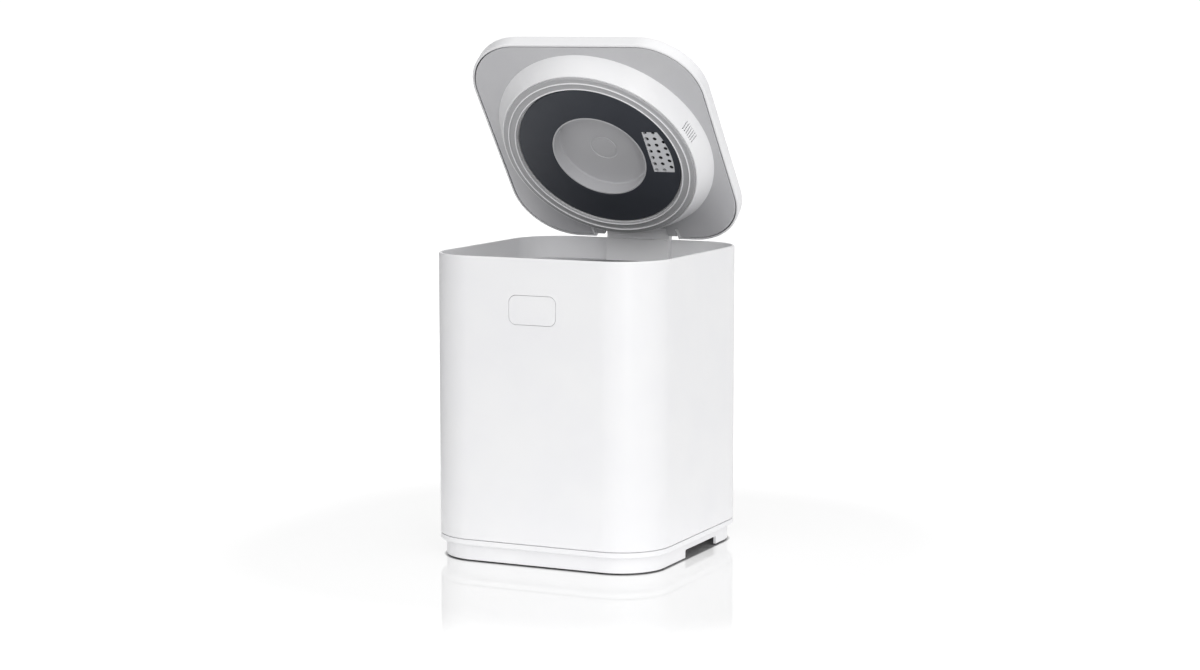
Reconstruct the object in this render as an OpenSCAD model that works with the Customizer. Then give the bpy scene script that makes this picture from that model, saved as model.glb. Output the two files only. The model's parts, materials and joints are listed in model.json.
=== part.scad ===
// Electric food waste composter: a heated, stirred bucket in a rounded square
// casing, under a hinged lid that carries the carbon filter. The lid is open.
// Millimetres, +Z up, front towards -Y, origin on the floor under the casing's centre.

/* [Casing] */
// Width of the casing
body_w = 270; // [264:1:300]
// Depth of the casing
body_d = 280; // [276:1:310]
// Height of the casing's rim above the floor
rim_z = 333.5; // [331:0.5:350]
// Radius of the casing's upright corners
corner_r = 57; // [50:1:62]
// Thickness of the casing's wall
wall = 3; // [2.5:0.1:4]
// Height of the seam between casing and base
seam_z = 25.5; // [25:0.5:28]

/* [Base] */
// Height of the flush band under the seam
band_h = 6.5; // [5:0.5:7]
// How far the plinth stands in from the band
plinth_inset = 6.5; // [4:0.5:8]
// Height of the rubber feet under the plinth
foot_h = 1.5; // [1:0.1:3]
// Radius of a rubber foot
foot_r = 11; // [8:0.5:12]
// Length of the finger notch in each side of the plinth
notch_len = 86; // [60:1:90]
// Distance of the notch's middle behind the casing's centre
notch_y = 17; // [0:1:20]
// Height of the notch above the floor
notch_h = 10.5; // [8:0.5:11]
// Underside of the base floor
floor_z = 13; // [12:0.5:14]

/* [Lid] */
// How far the lid reaches past each side of the body
lid_side = 5; // [2:0.5:10]
// How far the lid reaches past the front and the back of the body
lid_end = 1; // [0:0.5:5]
// Radius of the lid's upright corners
lid_r = 68; // [60:1:80]
// Height of the lid's side band
lid_band = 12.7; // [11:0.1:15]
// Height of the crown above the side band
lid_crown = 8; // [7:0.5:12]
// Thickness of the lid's outer skin
lid_wall = 2.6; // [2:0.1:3]
// Gap between the closed lid and the rim
lid_gap = 0.8; // [0.8:0.1:1.5]
// Angle at which the lid stands open
lid_open = 52; // [0:1:90]
// From the back of the body in to the lid's axis
hinge_in = 4.5; // [4:0.5:6]
// Height of the hinge axis above the rim
hinge_rise = 12.5; // [12:0.5:14]
// Radius of the hinge barrel
hinge_r = 4.5; // [4:0.1:4.6]
// Radius of the hinge pins
pin_r = 2; // [1.5:0.1:2.5]
// Width of the fixed hinge block
hinge_w = 78; // [60:1:90]

/* [Filter drum] */
// Radius of the drum where it leaves the lid
drum_base_r = 127; // [120:0.5:128]
// Radius of the drum's end
drum_end_r = 114.4; // [108:0.2:117]
// Depth of the drum below the lid
drum_depth = 21; // [18:0.5:22]
// Radius of the filter cap
cap_r = 95; // [90:0.5:98]
// Radius of the hollow grip in the filter cap
grip_r = 55.5; // [45:0.5:58]
// Depth of the hollow grip
grip_depth = 17; // [10:0.5:18]
// Number of slits in the drum's side
slits = 7; // [3:1:9]
// Radius of the inlet grille's holes
grille_hole_r = 1.9; // [1.5:0.1:2.2]

/* [Bucket] */
// Inner radius of the bucket
bucket_r = 93; // [85:0.5:94]
// Underside of the bucket
bucket_z = 140; // [138:1:150]
// Thickness of the bucket's sheet
bucket_wall = 2; // [1.5:0.1:2.4]
// Depth of the deck below the rim
deck_drop = 25.5; // [24.5:0.5:28]
// Radius of the bail's wire
bail_r = 2.5; // [2:0.1:3]

/* [Drive] */
// Radius of the output shaft
shaft_r = 4; // [3:0.5:5]
// Teeth of the output gear
out_teeth = 56; // [50:1:60]
// Teeth of the idler's small gear
idler_small_teeth = 14; // [13:1:16]
// Module of the second stage
out_module = 1.5; // [1.4:0.05:1.55]
// Teeth of the idler's large gear
idler_large_teeth = 60; // [52:1:62]
// Teeth of the motor pinion
pinion_teeth = 15; // [13:1:17]
// Module of the first stage
in_module = 1; // [0.9:0.05:1.05]
// Radius of the motor can
motor_r = 28; // [22:0.5:30]
// Length of the motor can
motor_len = 46; // [36:1:48]

/* [Hidden] */
$fn = 64;
// radial clearance of a running fit
run = 0.05;
// clearance between pieces that drop into each other
slip = 0.3;

deck_z = rim_z - deck_drop;
deck_t = 3;
floor_t = 3;
floor_top = floor_z + floor_t;
lid_z = rim_z + lid_gap;
lid_top = lid_z + lid_band;
hinge_y = body_d / 2 - hinge_in;
hinge_z = rim_z + hinge_rise;
lid_w = body_w + 2 * lid_side;
lid_d = body_d + 2 * lid_end;
drum_z = lid_z - drum_depth;
inner_w = body_w - 2 * wall;
inner_d = body_d - 2 * wall;
inner_r = corner_r - wall;

// a rounded rectangle about the origin, with true arcs
module rounded(w, d, r) {
    square([w - 2 * r, d], center = true);
    square([w, d - 2 * r], center = true);
    for (x = [-1, 1], y = [-1, 1])
        translate([x * (w / 2 - r), y * (d / 2 - r)]) circle(r);
}

/* Base */
plinth_w = body_w - 2 * plinth_inset;
plinth_d = body_d - 2 * plinth_inset;
plinth_r = corner_r - plinth_inset;
band_z = seam_z - band_h;
groove_h = 0.8;
groove_d = 1.4;
lip_h = 6;
post_r = 6;
post_ring = 98;
pilot_r = 1.6;
pilot_len = 14;
foot_side = 32;
foot_end = 33;
foot_x = plinth_w / 2 - foot_side;
foot_y = plinth_d / 2 - foot_end;
foot_rim = 2;
foot_seat = 2.5;

module at_posts() {
    for (a = [45:90:315]) rotate(a) translate([post_ring, 0]) children();
}

module at_feet() {
    for (x = [-1, 1], y = [-1, 1]) translate([x * foot_x, y * foot_y]) children();
}

module base_plinth() color("whitesmoke") difference() {
    union() {
        translate([0, 0, foot_h]) linear_extrude(band_z - foot_h)
            difference() {
                rounded(plinth_w, plinth_d, plinth_r);
                rounded(plinth_w - 2 * wall, plinth_d - 2 * wall, plinth_r - wall);
            }
        translate([0, 0, band_z]) linear_extrude(seam_z - groove_h - band_z)
            difference() {
                rounded(body_w, body_d, corner_r);
                rounded(plinth_w - 2 * wall, plinth_d - 2 * wall, plinth_r - wall);
            }
        translate([0, 0, band_z]) linear_extrude(band_h)
            difference() {
                rounded(body_w - 2 * groove_d, body_d - 2 * groove_d, corner_r - groove_d);
                rounded(plinth_w - 2 * wall, plinth_d - 2 * wall, plinth_r - wall);
            }
        translate([0, 0, band_z]) linear_extrude(band_h + lip_h)
            difference() {
                rounded(inner_w - 2 * slip, inner_d - 2 * slip, inner_r - slip);
                rounded(plinth_w - 2 * wall, plinth_d - 2 * wall, plinth_r - wall);
            }
        translate([0, 0, floor_z]) linear_extrude(floor_t)
            rounded(plinth_w - wall, plinth_d - wall, plinth_r - wall / 2);
        at_posts() translate([0, 0, floor_z]) cylinder(r = post_r, h = plate_z - floor_z);
        at_feet() translate([0, 0, foot_h]) cylinder(r = foot_r + foot_rim, h = floor_z - foot_h + 1);
    }
    at_posts() translate([0, 0, plate_z - pilot_len]) cylinder(r = pilot_r, h = pilot_len + 1);
    at_feet() translate([0, 0, foot_h - 1]) cylinder(r = foot_r, h = foot_seat + 1);
    for (x = [-1, 1])
        translate([x * (plinth_w / 2 - wall / 2), notch_y, (notch_h - 1) / 2])
            cube([2 * wall, notch_len, notch_h + 1], center = true);
}

module rubber_feet() color("dimgray")
    at_feet() cylinder(r = foot_r, h = foot_h + foot_seat);

/* Casing */
button_w = 55;
button_h = 31;
button_r = 8;
button_drop = 55.5;
button_z = rim_z - button_drop;
button_gap = 0.45;
button_t = 3.6;
button_travel = 1;
board_boss_x = 30;
board_boss_z = 17;
board_back = 10;
board_y = board_back - inner_d / 2;
board_t = 1.6;
ledge_h = 4;
ledge_d = 5;
inlet_side = 75;
inlet_x = inlet_side - body_w / 2;
inlet_z = 50;
inlet_w = 31;
inlet_h = 24;
fan_side = 87;
fan_x = body_w / 2 - fan_side;
fan_size = 60;
fan_z = seam_z + lip_h + fan_size / 2 + 0.5;
fan_depth = 20;
grille_frame = 2;
grille_size = fan_size - 2 * grille_frame;
fan_screw_in = 5;
fan_screw_r = 1.5;

// stands a plan shape up on the front wall, facing forwards
module on_front(y, z) {
    translate([0, y, z]) rotate([90, 0, 0]) children();
}

module outer_shell() color("white") difference() {
    union() {
        translate([0, 0, seam_z]) linear_extrude(rim_z - seam_z)
            difference() {
                rounded(body_w, body_d, corner_r);
                rounded(inner_w, inner_d, inner_r);
            }
        translate([0, 0, deck_z - deck_t - ledge_h]) linear_extrude(ledge_h)
            difference() {
                rounded(body_w - wall, body_d - wall, corner_r - wall / 2);
                rounded(inner_w - 2 * ledge_d, inner_d - 2 * ledge_d, inner_r - ledge_d);
            }
        for (x = [-1, 1], z = [-1, 1])
            on_front(board_y, button_z)
                translate([x * board_boss_x, z * board_boss_z, 0])
                cylinder(r = 3, h = board_back + wall / 2);
    }
    on_front(-inner_d / 2 + 1, button_z) linear_extrude(wall + 2)
        rounded(button_w + 2 * button_gap, button_h + 2 * button_gap, button_r + button_gap);
    translate([inlet_x, body_d / 2, inlet_z])
        cube([inlet_w + 0.2, 3 * wall, inlet_h + 0.2], center = true);
    translate([fan_x, body_d / 2, fan_z])
        cube([grille_size + 0.2, 3 * wall, grille_size + 0.2], center = true);
    for (x = [-1, 1], z = [-1, 1])
        on_front(board_y + 1, button_z)
            translate([x * board_boss_x, z * board_boss_z, 0])
            cylinder(r = 1, h = 8);
    // room in the ledge for the hinge block's screws
    for (x = [-1, 1])
        translate([x * block_screw_x, block_y, deck_z - deck_t - 10]) cylinder(r = 4, h = 10);
}

/* Deck */
deck_hole = bucket_r + bucket_wall + 3;
port_side = 37;
port_end = 40;
port_x = inner_w / 2 - port_side;
port_y = inner_d / 2 - port_end;
port_r = 14;
block_screw_in = 11;
block_screw_x = hinge_w / 2 - block_screw_in;
block_screw_r = 1.5;
block_screw_len = 10;

module top_deck() color("gainsboro") difference() {
    translate([0, 0, deck_z - deck_t]) linear_extrude(deck_t)
        difference() {
            rounded(inner_w - 2 * slip, inner_d - 2 * slip, inner_r - slip);
            circle(deck_hole);
            for (x = [-1, 1]) translate([x * block_screw_x, block_y]) circle(block_screw_r + slip);
        }
    // air port over the exhaust duct, as three slots
    for (x = [-8, 0, 8])
        translate([port_x + x, port_y, deck_z])
            cube([4.5, 2 * sqrt(port_r * port_r - x * x) - 4, 3 * deck_t], center = true);
}

/* Hinge block */
block_front = hinge_y - hinge_r;
block_t = inner_d / 2 - slip - (hinge_y - 7.5);
block_y = inner_d / 2 - slip - block_t / 2;
pin_len = 22;
pin_in = 12;

module hinge_block() color("white") difference() {
    union() {
        translate([-hinge_w / 2, block_y - block_t / 2, deck_z])
            cube([hinge_w, block_t, rim_z - deck_z]);
        translate([-hinge_w / 2, block_front, rim_z - 2])
            cube([hinge_w, inner_d / 2 - slip - block_front, 2.1]);
        translate([-hinge_w / 2, block_front, rim_z])
            cube([hinge_w, 2 * hinge_r, hinge_z - rim_z]);
        translate([-hinge_w / 2, hinge_y, hinge_z]) rotate([0, 90, 0])
            cylinder(r = hinge_r, h = hinge_w);
    }
    // the part above the rim stands clear of the casing's wall
    translate([0, inner_d / 2 + 5 - slip, rim_z - 5])
        cube([hinge_w + 2, 10, 10.4], center = true);
    for (x = [-1, 1])
        translate([x * (hinge_w / 2 - pin_in / 2 + 0.5), hinge_y, hinge_z]) rotate([0, 90, 0])
            cylinder(r = pin_r + run, h = pin_in + 1, center = true);
    for (x = [-1, 1])
        translate([x * block_screw_x, block_y, deck_z - 1])
            cylinder(r = block_screw_r, h = block_screw_len + 3);
}

module block_screws() color("silver")
    for (x = [-1, 1])
        translate([x * block_screw_x, block_y, deck_z - deck_t]) {
            translate([0, 0, -2]) cylinder(r = 3, h = 2);
            cylinder(r = block_screw_r, h = deck_t + block_screw_len);
        }

/* Bucket */
bucket_top = deck_z + bucket_wall;
flange_r = bucket_r + 19;
seat_r = 8;
bail_z = deck_z - 8;
bail_ring = bucket_r - 7;
rivet_r = 2.5;
rotor_z = bucket_z + 6.5;
arm_h = 6;
arm_gap = 1.5;
fixed_t = 3;
arm_pitch = arm_h + fixed_t + 2 * arm_gap;
arms = 3;

module bucket() color("dimgray") difference() {
    union() {
        translate([0, 0, bucket_z])
            cylinder(r = bucket_r + bucket_wall, h = bucket_top - bucket_z);
        translate([0, 0, deck_z]) cylinder(r = flange_r, h = bucket_wall);
    }
    translate([0, 0, bucket_z + bucket_wall]) cylinder(r = bucket_r, h = rim_z);
    translate([0, 0, bucket_z - 1]) cylinder(r = seat_r, h = 10);
    for (x = [-1, 1])
        translate([x * (bucket_r + 1), 0, bail_z]) rotate([0, 90, 0])
            cylinder(r = rivet_r, h = 6, center = true);
}

// bearing in the middle of the bucket's floor
module bucket_bush() color("silver") difference() {
    union() {
        translate([0, 0, bucket_z]) cylinder(r = seat_r, h = bucket_wall + 3);
        translate([0, 0, bucket_z - 1.5]) cylinder(r = seat_r + 3, h = 1.5);
    }
    translate([0, 0, bucket_z - 2]) cylinder(r = rotor_shaft_r + run, h = 20);
}

module bail_rivets() color("silver")
    for (x = [-1, 1]) translate([x * bail_ring, 0, bail_z]) rotate([0, x * 90, 0]) {
        translate([0, 0, -bail_r - 0.5]) cylinder(r = 2, h = bucket_r - bail_ring + bail_r + 0.5);
        translate([0, 0, bail_r + 1]) cylinder(r = rivet_r, h = bucket_r + bucket_wall - bail_ring - bail_r - 1);
        translate([0, 0, bail_r + 0.5]) cylinder(r = 4, h = bucket_r - bail_ring - bail_r - 0.7);
        translate([0, 0, -bail_r - 2]) cylinder(r = 3.4, h = 1.5);
    }

module bail_handle() color("silver") difference() {
    union() {
        translate([0, 0, bail_z]) rotate([0, 0, 180])
            rotate_extrude(angle = 180) translate([bail_ring, 0]) circle(bail_r, $fn = 24);
        for (x = [-1, 1]) translate([x * bail_ring, 0, bail_z]) rotate([0, 90, 0])
            cylinder(r = 4.5, h = 2 * bail_r, center = true);
    }
    for (x = [-1, 1]) translate([x * bail_ring, 0, bail_z]) rotate([0, 90, 0])
        cylinder(r = 2 + run, h = 20, center = true);
}

// fixed cutters on the bucket's wall, between the stirring arms
module fixed_blades() color("gray")
    for (i = [0:arms - 2])
        translate([0, 0, rotor_z + arm_h + arm_gap + i * arm_pitch])
        intersection() {
            cylinder(r = bucket_r, h = fixed_t);
            rotate(60 + i * 180) translate([bucket_r * 0.5, -6, 0])
                cube([bucket_r, 12, fixed_t]);
        }

/* Rotor */
rotor_shaft_r = 5;
hub_r = 12;
hub_lip = 0.8;
arm_w = 12;
arm_reach = bucket_r - 4;
dog_r = 12;

module stirring_rotor() color("silver") {
    translate([0, 0, bucket_z - 1.5 - 0.3]) cylinder(r = rotor_shaft_r, h = rotor_z - bucket_z + 3);
    translate([0, 0, rotor_z - hub_lip])
        cylinder(r = hub_r, h = arms * arm_pitch - fixed_t + hub_lip);
    for (i = [0:arms - 1])
        rotate(i * 120 + 20) translate([0, 0, rotor_z + i * arm_pitch]) intersection() {
            rotate(90) cylinder(r = arm_reach, h = arm_h);
            translate([hub_r / 2, -arm_w / 2, 0]) cube([arm_reach, arm_w, arm_h]);
        }
}

// claw under the bucket that the drive turns
module driven_claw() color("dimgray") {
    translate([0, 0, bucket_z - 4.8]) cylinder(r = dog_r, h = 3);
    for (a = [0, 180]) rotate(a) translate([4.5, -3, bucket_z - 8.3]) cube([6, 6, 4]);
}

module drive_claw() color("dimgray") {
    translate([0, 0, claw_z]) difference() {
        cylinder(r = dog_r, h = 2.5);
        translate([0, 0, -1]) cylinder(r = shaft_r, h = 6);
    }
    for (a = [90, 270]) rotate(a) translate([4.5, -3, claw_z + 2]) cube([6, 6, bucket_z - 5 - claw_z - 2]);
}

/* Well */
well_gap = 2;
well_t = 2;
well_r = bucket_r + bucket_wall + well_gap;
well_floor = bucket_z - 12;
well_bottom = well_floor - well_t;
claw_z = well_floor + 1;
heater_t = 2.5;
heater_z = well_bottom + 20;
heater_h = 55;
sleeve_t = 4;
standoff_ring = 70;
plate_t = 3;
plate_z = 96;
plate_top = plate_z + plate_t;
plate_r = 106;
bush_r = 7;

module heating_well() color("lightgray") difference() {
    union() {
        translate([0, 0, well_bottom])
            cylinder(r = well_r + well_t, h = deck_z - deck_t - well_bottom);
        translate([0, 0, deck_z - deck_t - 2]) cylinder(r = well_r + well_t + 9, h = 2);
    }
    translate([0, 0, well_floor]) cylinder(r = well_r, h = rim_z);
    translate([0, 0, well_bottom - 1]) cylinder(r = bush_r, h = 6);
}

module well_seal() color("dimgray") difference() {
    union() {
        translate([0, 0, well_bottom]) cylinder(r = bush_r, h = well_t);
        translate([0, 0, well_bottom - 2]) cylinder(r = bush_r + 3, h = 2);
    }
    translate([0, 0, well_bottom - 3]) cylinder(r = shaft_r + run, h = 10);
}

module heater_band() color("goldenrod") difference() {
    translate([0, 0, heater_z]) cylinder(r = well_r + well_t + heater_t, h = heater_h);
    translate([0, 0, heater_z - 1]) cylinder(r = well_r + well_t, h = heater_h + 2);
    // the band's clamping gap
    translate([0, -well_r, heater_z + heater_h / 2]) cube([6, 30, heater_h + 2], center = true);
}

module insulation_sleeve() color("beige") difference() {
    translate([0, 0, heater_z - 6])
        cylinder(r = well_r + well_t + heater_t + sleeve_t, h = heater_h + 40);
    translate([0, 0, heater_z - 7])
        cylinder(r = well_r + well_t + heater_t, h = heater_h + 42);
}

module heat_sensor() color("black") {
    translate([0, standoff_ring - 20, well_bottom - 8]) cylinder(r = 8, h = 8);
    for (x = [-4, 4]) translate([x - 1.5, standoff_ring - 20.5, well_bottom - 14]) cube([3, 1, 6]);
}

module well_standoffs() color("tan")
    for (a = [0:90:270]) rotate(a) translate([standoff_ring, 0, plate_top])
        cylinder(r = 5, h = well_bottom - plate_top);

/* Drive */
housing_z = 68.5;
housing_t = 2.5;
housing_wall = 2.5;
out_gear_h = 10;
out_gear_z = housing_z + housing_t + 3;
small_gear_h = 11.5;
large_gear_z = out_gear_z + small_gear_h;
large_gear_h = 6;
idler_dir = 217;
motor_dir = 127;
out_pitch = out_teeth * out_module / 2;
idler_dist = (out_teeth + idler_small_teeth) * out_module / 2;
motor_dist = (idler_large_teeth + pinion_teeth) * in_module / 2;
idler_at = idler_dist * [cos(idler_dir), sin(idler_dir)];
motor_at = idler_at + motor_dist * [cos(motor_dir), sin(motor_dir)];
axle_r = 3;
motor_shaft_r = 2.5;
face_r = motor_r + 2;

pressure = 20;
addendum = 0.8;
dedendum = 1.15;
backlash = 0.12;
// involute function of a pressure angle, in degrees
function inv(a) = tan(a) * 180 / PI - a;
// half of a tooth's angle at radius r
function half_tooth(n, m, r) =
    let (base = n * m / 2 * cos(pressure))
    90 / n - backlash / (n * m / 2) * 180 / PI + inv(pressure) - (r > base ? inv(acos(base / r)) : 0);
function tooth_radii(n, m) =
    let (p = n * m / 2, root = p - dedendum * m)
    [root, max(root + 0.1, p * cos(pressure)), p, p + addendum * m];
function on_circle(r, a) = [r * cos(a), r * sin(a)];
function gear_outline(n, m) =
    let (radii = tooth_radii(n, m))
    [for (i = [0:n - 1], k = [0:7])
        let (r = radii[k < 4 ? k : 7 - k], side = k < 4 ? -1 : 1)
        on_circle(r, 360 * i / n + side * half_tooth(n, m, r))];

module gear(n, m, h) {
    linear_extrude(h) polygon(gear_outline(n, m));
}

module gearbox_housing() color("slategray") difference() {
    translate([0, 0, housing_z]) linear_extrude(plate_z - housing_z) {
        circle(out_pitch + 5);
        translate(idler_at) circle(idler_large_teeth * in_module / 2 + 5);
        translate(motor_at) circle(face_r);
    }
    translate([0, 0, housing_z + housing_t]) linear_extrude(plate_z) {
        circle(out_pitch + 5 - housing_wall);
        translate(idler_at) circle(idler_large_teeth * in_module / 2 + 5 - housing_wall);
        translate(motor_at) circle(face_r - housing_wall);
    }
    translate([0, 0, housing_z - 1]) cylinder(r = bush_r, h = 10);
    translate([idler_at[0], idler_at[1], housing_z + 1]) cylinder(r = axle_r, h = 10);
    translate([motor_at[0], motor_at[1], housing_z - 1]) cylinder(r = 6, h = 10);
    at_motor_screws() translate([0, 0, housing_z - 1]) cylinder(r = 1.6, h = 10);
}

module at_motor_screws() {
    for (a = [45:90:315])
        translate([motor_at[0], motor_at[1], 0]) rotate(a) translate([motor_r * 0.7, 0]) children();
}

module motor_screws() color("silver")
    at_motor_screws() {
        translate([0, 0, housing_z - 6]) cylinder(r = 1.6, h = 6 + housing_t);
        translate([0, 0, housing_z + housing_t]) cylinder(r = 3, h = 1.8);
    }

module drive_plate() color("silver") difference() {
    translate([0, 0, plate_z]) cylinder(r = plate_r, h = plate_t);
    translate([0, 0, plate_z - 1]) cylinder(r = bush_r, h = plate_t + 2);
    at_posts() translate([0, 0, plate_z - 1]) cylinder(r = 2.2, h = plate_t + 2);
    translate([idler_at[0], idler_at[1], plate_z - 1]) cylinder(r = axle_r, h = plate_t + 2);
}

module plate_screws() color("silver")
    at_posts() {
        translate([0, 0, plate_top]) cylinder(r = 4, h = 2.5);
        translate([0, 0, plate_z - pilot_len + 2]) cylinder(r = pilot_r, h = pilot_len - 2 + plate_t);
    }

module shaft_bushes() color("peru")
    for (z = [[housing_z - 2, housing_t + 4.5], [plate_z - 4, plate_t + 6]])
        translate([0, 0, z[0]]) difference() {
            cylinder(r = bush_r, h = z[1]);
            translate([0, 0, -1]) cylinder(r = shaft_r + run, h = z[1] + 2);
        }

module output_shaft() color("silver")
    translate([0, 0, housing_z - 3]) cylinder(r = shaft_r, h = claw_z + 2.5 - housing_z + 3);

module output_gear() color("ivory") difference() {
    union() {
        translate([0, 0, out_gear_z]) rotate(idler_dir) gear(out_teeth, out_module, out_gear_h);
        translate([0, 0, out_gear_z + out_gear_h]) cylinder(r = 10, h = 6);
    }
    translate([0, 0, out_gear_z - 1]) cylinder(r = shaft_r, h = 30);
}

module idler_gear() color("ivory") translate([idler_at[0], idler_at[1], 0]) difference() {
    union() {
        translate([0, 0, out_gear_z - 0.5])
            rotate(idler_dir + 180 + 180 / idler_small_teeth)
            gear(idler_small_teeth, out_module, small_gear_h + 0.5);
        translate([0, 0, large_gear_z]) rotate(motor_dir)
            gear(idler_large_teeth, in_module, large_gear_h);
    }
    translate([0, 0, housing_z]) cylinder(r = axle_r + run, h = 40);
}

module idler_axle() color("silver") translate([idler_at[0], idler_at[1], 0])
    translate([0, 0, housing_z + 1]) cylinder(r = axle_r, h = plate_top - housing_z - 1);

module motor_pinion() color("goldenrod") translate([motor_at[0], motor_at[1], 0]) difference() {
    translate([0, 0, large_gear_z - 0.5])
        rotate(motor_dir + 180 + 180 / pinion_teeth)
        gear(pinion_teeth, in_module, large_gear_h + 1);
    translate([0, 0, housing_z]) cylinder(r = motor_shaft_r, h = 40);
}

module drive_motor() color("gray") translate([motor_at[0], motor_at[1], 0]) difference() {
    union() {
        translate([0, 0, housing_z - motor_len]) cylinder(r = motor_r, h = motor_len);
        translate([0, 0, housing_z - motor_len - 3]) cylinder(r = 9, h = 4);
    }
    translate([0, 0, housing_z - 20]) cylinder(r = motor_shaft_r + run, h = 30);
    for (a = [45:90:315]) rotate(a) translate([motor_r * 0.7, 0, housing_z - 7]) cylinder(r = 1.6, h = 8);
}

module motor_shaft() color("silver") translate([motor_at[0], motor_at[1], 0])
    translate([0, 0, housing_z - 19.7]) cylinder(r = motor_shaft_r, h = large_gear_z + large_gear_h + 1 - housing_z + 19.7);

/* Air path */
fan_back = inner_d / 2 - 4;
fan_front = fan_back - fan_depth;
fan_hole = 27;
duct_wall = 2;
plenum_x = fan_x - fan_size / 2;
plenum_w = port_x + port_r + duct_wall - plenum_x;
plenum_y = port_y - port_r - duct_wall;
plenum_top = fan_z + fan_size / 2 + 1.5;

post_gap = 0.5;

// the plenum's outline, set in by a wall and clear of the base's posts
module plenum_outline(inset) difference() {
    translate([plenum_x + inset, plenum_y + inset])
        square([plenum_w - 2 * inset, fan_front - plenum_y - 2 * inset]);
    at_posts() circle(r = post_r + post_gap + inset);
}

module riser_outline(inset)
    translate([port_x - port_r - duct_wall + inset, port_y - port_r - duct_wall + inset])
        square(2 * (port_r + duct_wall - inset));

module exhaust_duct() color("whitesmoke") difference() {
    union() {
        translate([0, 0, floor_top]) linear_extrude(plenum_top - floor_top) plenum_outline(0);
        translate([0, 0, plenum_top - duct_wall])
            linear_extrude(deck_z - deck_t - plenum_top + duct_wall) riser_outline(0);
    }
    translate([0, 0, floor_top + duct_wall])
        linear_extrude(plenum_top - floor_top - 2 * duct_wall) plenum_outline(duct_wall);
    translate([0, 0, plenum_top - 2 * duct_wall]) linear_extrude(rim_z) riser_outline(duct_wall);
    translate([fan_x, fan_front + 1, fan_z]) rotate([90, 0, 0])
        cylinder(r = fan_hole, h = duct_wall + 2);
}

module at_fan_corners() {
    for (x = [-1, 1], z = [-1, 1])
        translate([fan_x + x * (fan_size / 2 - fan_screw_in), 0, fan_z + z * (fan_size / 2 - fan_screw_in)]) children();
}

module fan_housing() color("dimgray") difference() {
    union() {
        difference() {
            translate([fan_x, fan_front + fan_depth / 2, fan_z])
                cube([fan_size, fan_depth, fan_size], center = true);
            translate([fan_x, fan_back + 1, fan_z]) rotate([90, 0, 0])
                cylinder(r = fan_hole, h = fan_depth + 2);
        }
        // the motor's seat and its spokes, on the outlet side
        translate([fan_x, fan_back, fan_z]) rotate([90, 0, 0]) cylinder(r = 12, h = 2.5);
        for (a = [20:120:260])
            translate([fan_x, fan_back - 1.25, fan_z]) rotate([0, a, 0])
                translate([fan_hole / 2 + 1, 0, 0]) cube([fan_hole + 2, 2.5, 3], center = true);
        translate([fan_x, fan_back, fan_z]) rotate([90, 0, 0]) cylinder(r = 2, h = fan_depth - 3);
    }
    at_fan_corners() translate([0, fan_back + 1, 0]) rotate([90, 0, 0])
        cylinder(r = fan_screw_r, h = 10);
}

blades = 7;

module fan_impeller() color("black") translate([fan_x, fan_back - 3, fan_z]) rotate([90, 0, 0]) difference() {
    union() {
        cylinder(r = 11, h = fan_depth - 5);
        for (i = [0:blades - 1]) rotate(i * 360 / blades) translate([9, 0, fan_depth / 2 - 2.5])
            rotate([35, 0, 0]) translate([0, -0.7, -7]) cube([fan_hole - 11, 1.4, 14]);
    }
    translate([0, 0, -1]) cylinder(r = 2 + run, h = fan_depth - 4);
}

slots = 6;

module exhaust_grille() color("whitesmoke") difference() {
    union() {
        translate([fan_x, body_d / 2 - wall / 2, fan_z])
            cube([grille_size, wall, grille_size], center = true);
        translate([fan_x, (inner_d / 2 + fan_back) / 2, fan_z]) difference() {
            cube([fan_size, inner_d / 2 - fan_back, fan_size], center = true);
            rotate([90, 0, 0]) cylinder(r = fan_hole, h = 20, center = true);
        }
    }
    for (i = [0:slots - 1])
        translate([fan_x, body_d / 2, fan_z + (i - (slots - 1) / 2) * 7.5])
            cube([2 * sqrt(pow(fan_hole - 2, 2) - pow((i - (slots - 1) / 2) * 7.5, 2)), 4 * wall, 4], center = true);
    at_fan_corners() translate([0, inner_d / 2, 0]) rotate([90, 0, 0])
        cylinder(r = fan_screw_r, h = inner_d / 2 - fan_back + 1);
}

fan_screw_bite = 9;

module fan_screws() color("silver")
    at_fan_corners() translate([0, inner_d / 2, 0]) rotate([90, 0, 0])
        cylinder(r = fan_screw_r, h = inner_d / 2 - fan_back + fan_screw_bite);

/* Electrics */
module start_button() color("white") {
    on_front(-body_d / 2 + button_t, button_z) linear_extrude(button_t)
        rounded(button_w, button_h, button_r);
    on_front(-inner_d / 2 + slip + 1.8, button_z) linear_extrude(1.8)
        rounded(button_w + 5, button_h + 5, button_r + 2.5);
    on_front(plunger_y, button_z) cylinder(r = 3, h = plunger_y + inner_d / 2);
}

switch_h = 3.2;
plunger_y = board_y - switch_h - button_travel - 0.2;

module control_board() color("darkgreen") difference() {
    union() {
        on_front(board_y + board_t, button_z) linear_extrude(board_t)
            rounded(2 * board_boss_x + 10, 2 * board_boss_z + 10, 3);
        on_front(board_y, button_z) translate([0, 0, switch_h / 2])
            cube([6, 6, switch_h], center = true);
        on_front(board_y + board_t + 6, button_z) translate([18, 0, 3])
            cube([12, 18, 6], center = true);
    }
    for (x = [-1, 1], z = [-1, 1])
        on_front(board_y + board_t + 1, button_z)
            translate([x * board_boss_x, z * board_boss_z, 0]) cylinder(r = 1.4, h = 5);
}

module board_screws() color("silver")
    for (x = [-1, 1], z = [-1, 1])
        translate([x * board_boss_x, board_y + board_t, button_z + z * board_boss_z])
            rotate([90, 0, 0]) {
                translate([0, 0, -1.5]) cylinder(r = 2.4, h = 1.5);
                cylinder(r = 1, h = board_t + 6);
            }

power_x = 110;
power_d = 56;
power_front = 48;
power_y = power_front - body_d / 2;
power_z = floor_top + 4;
terminal_y = power_y + power_d / 2 - 2;
fan_lead_x = 1;
panel_lead_x = 18;
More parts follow.
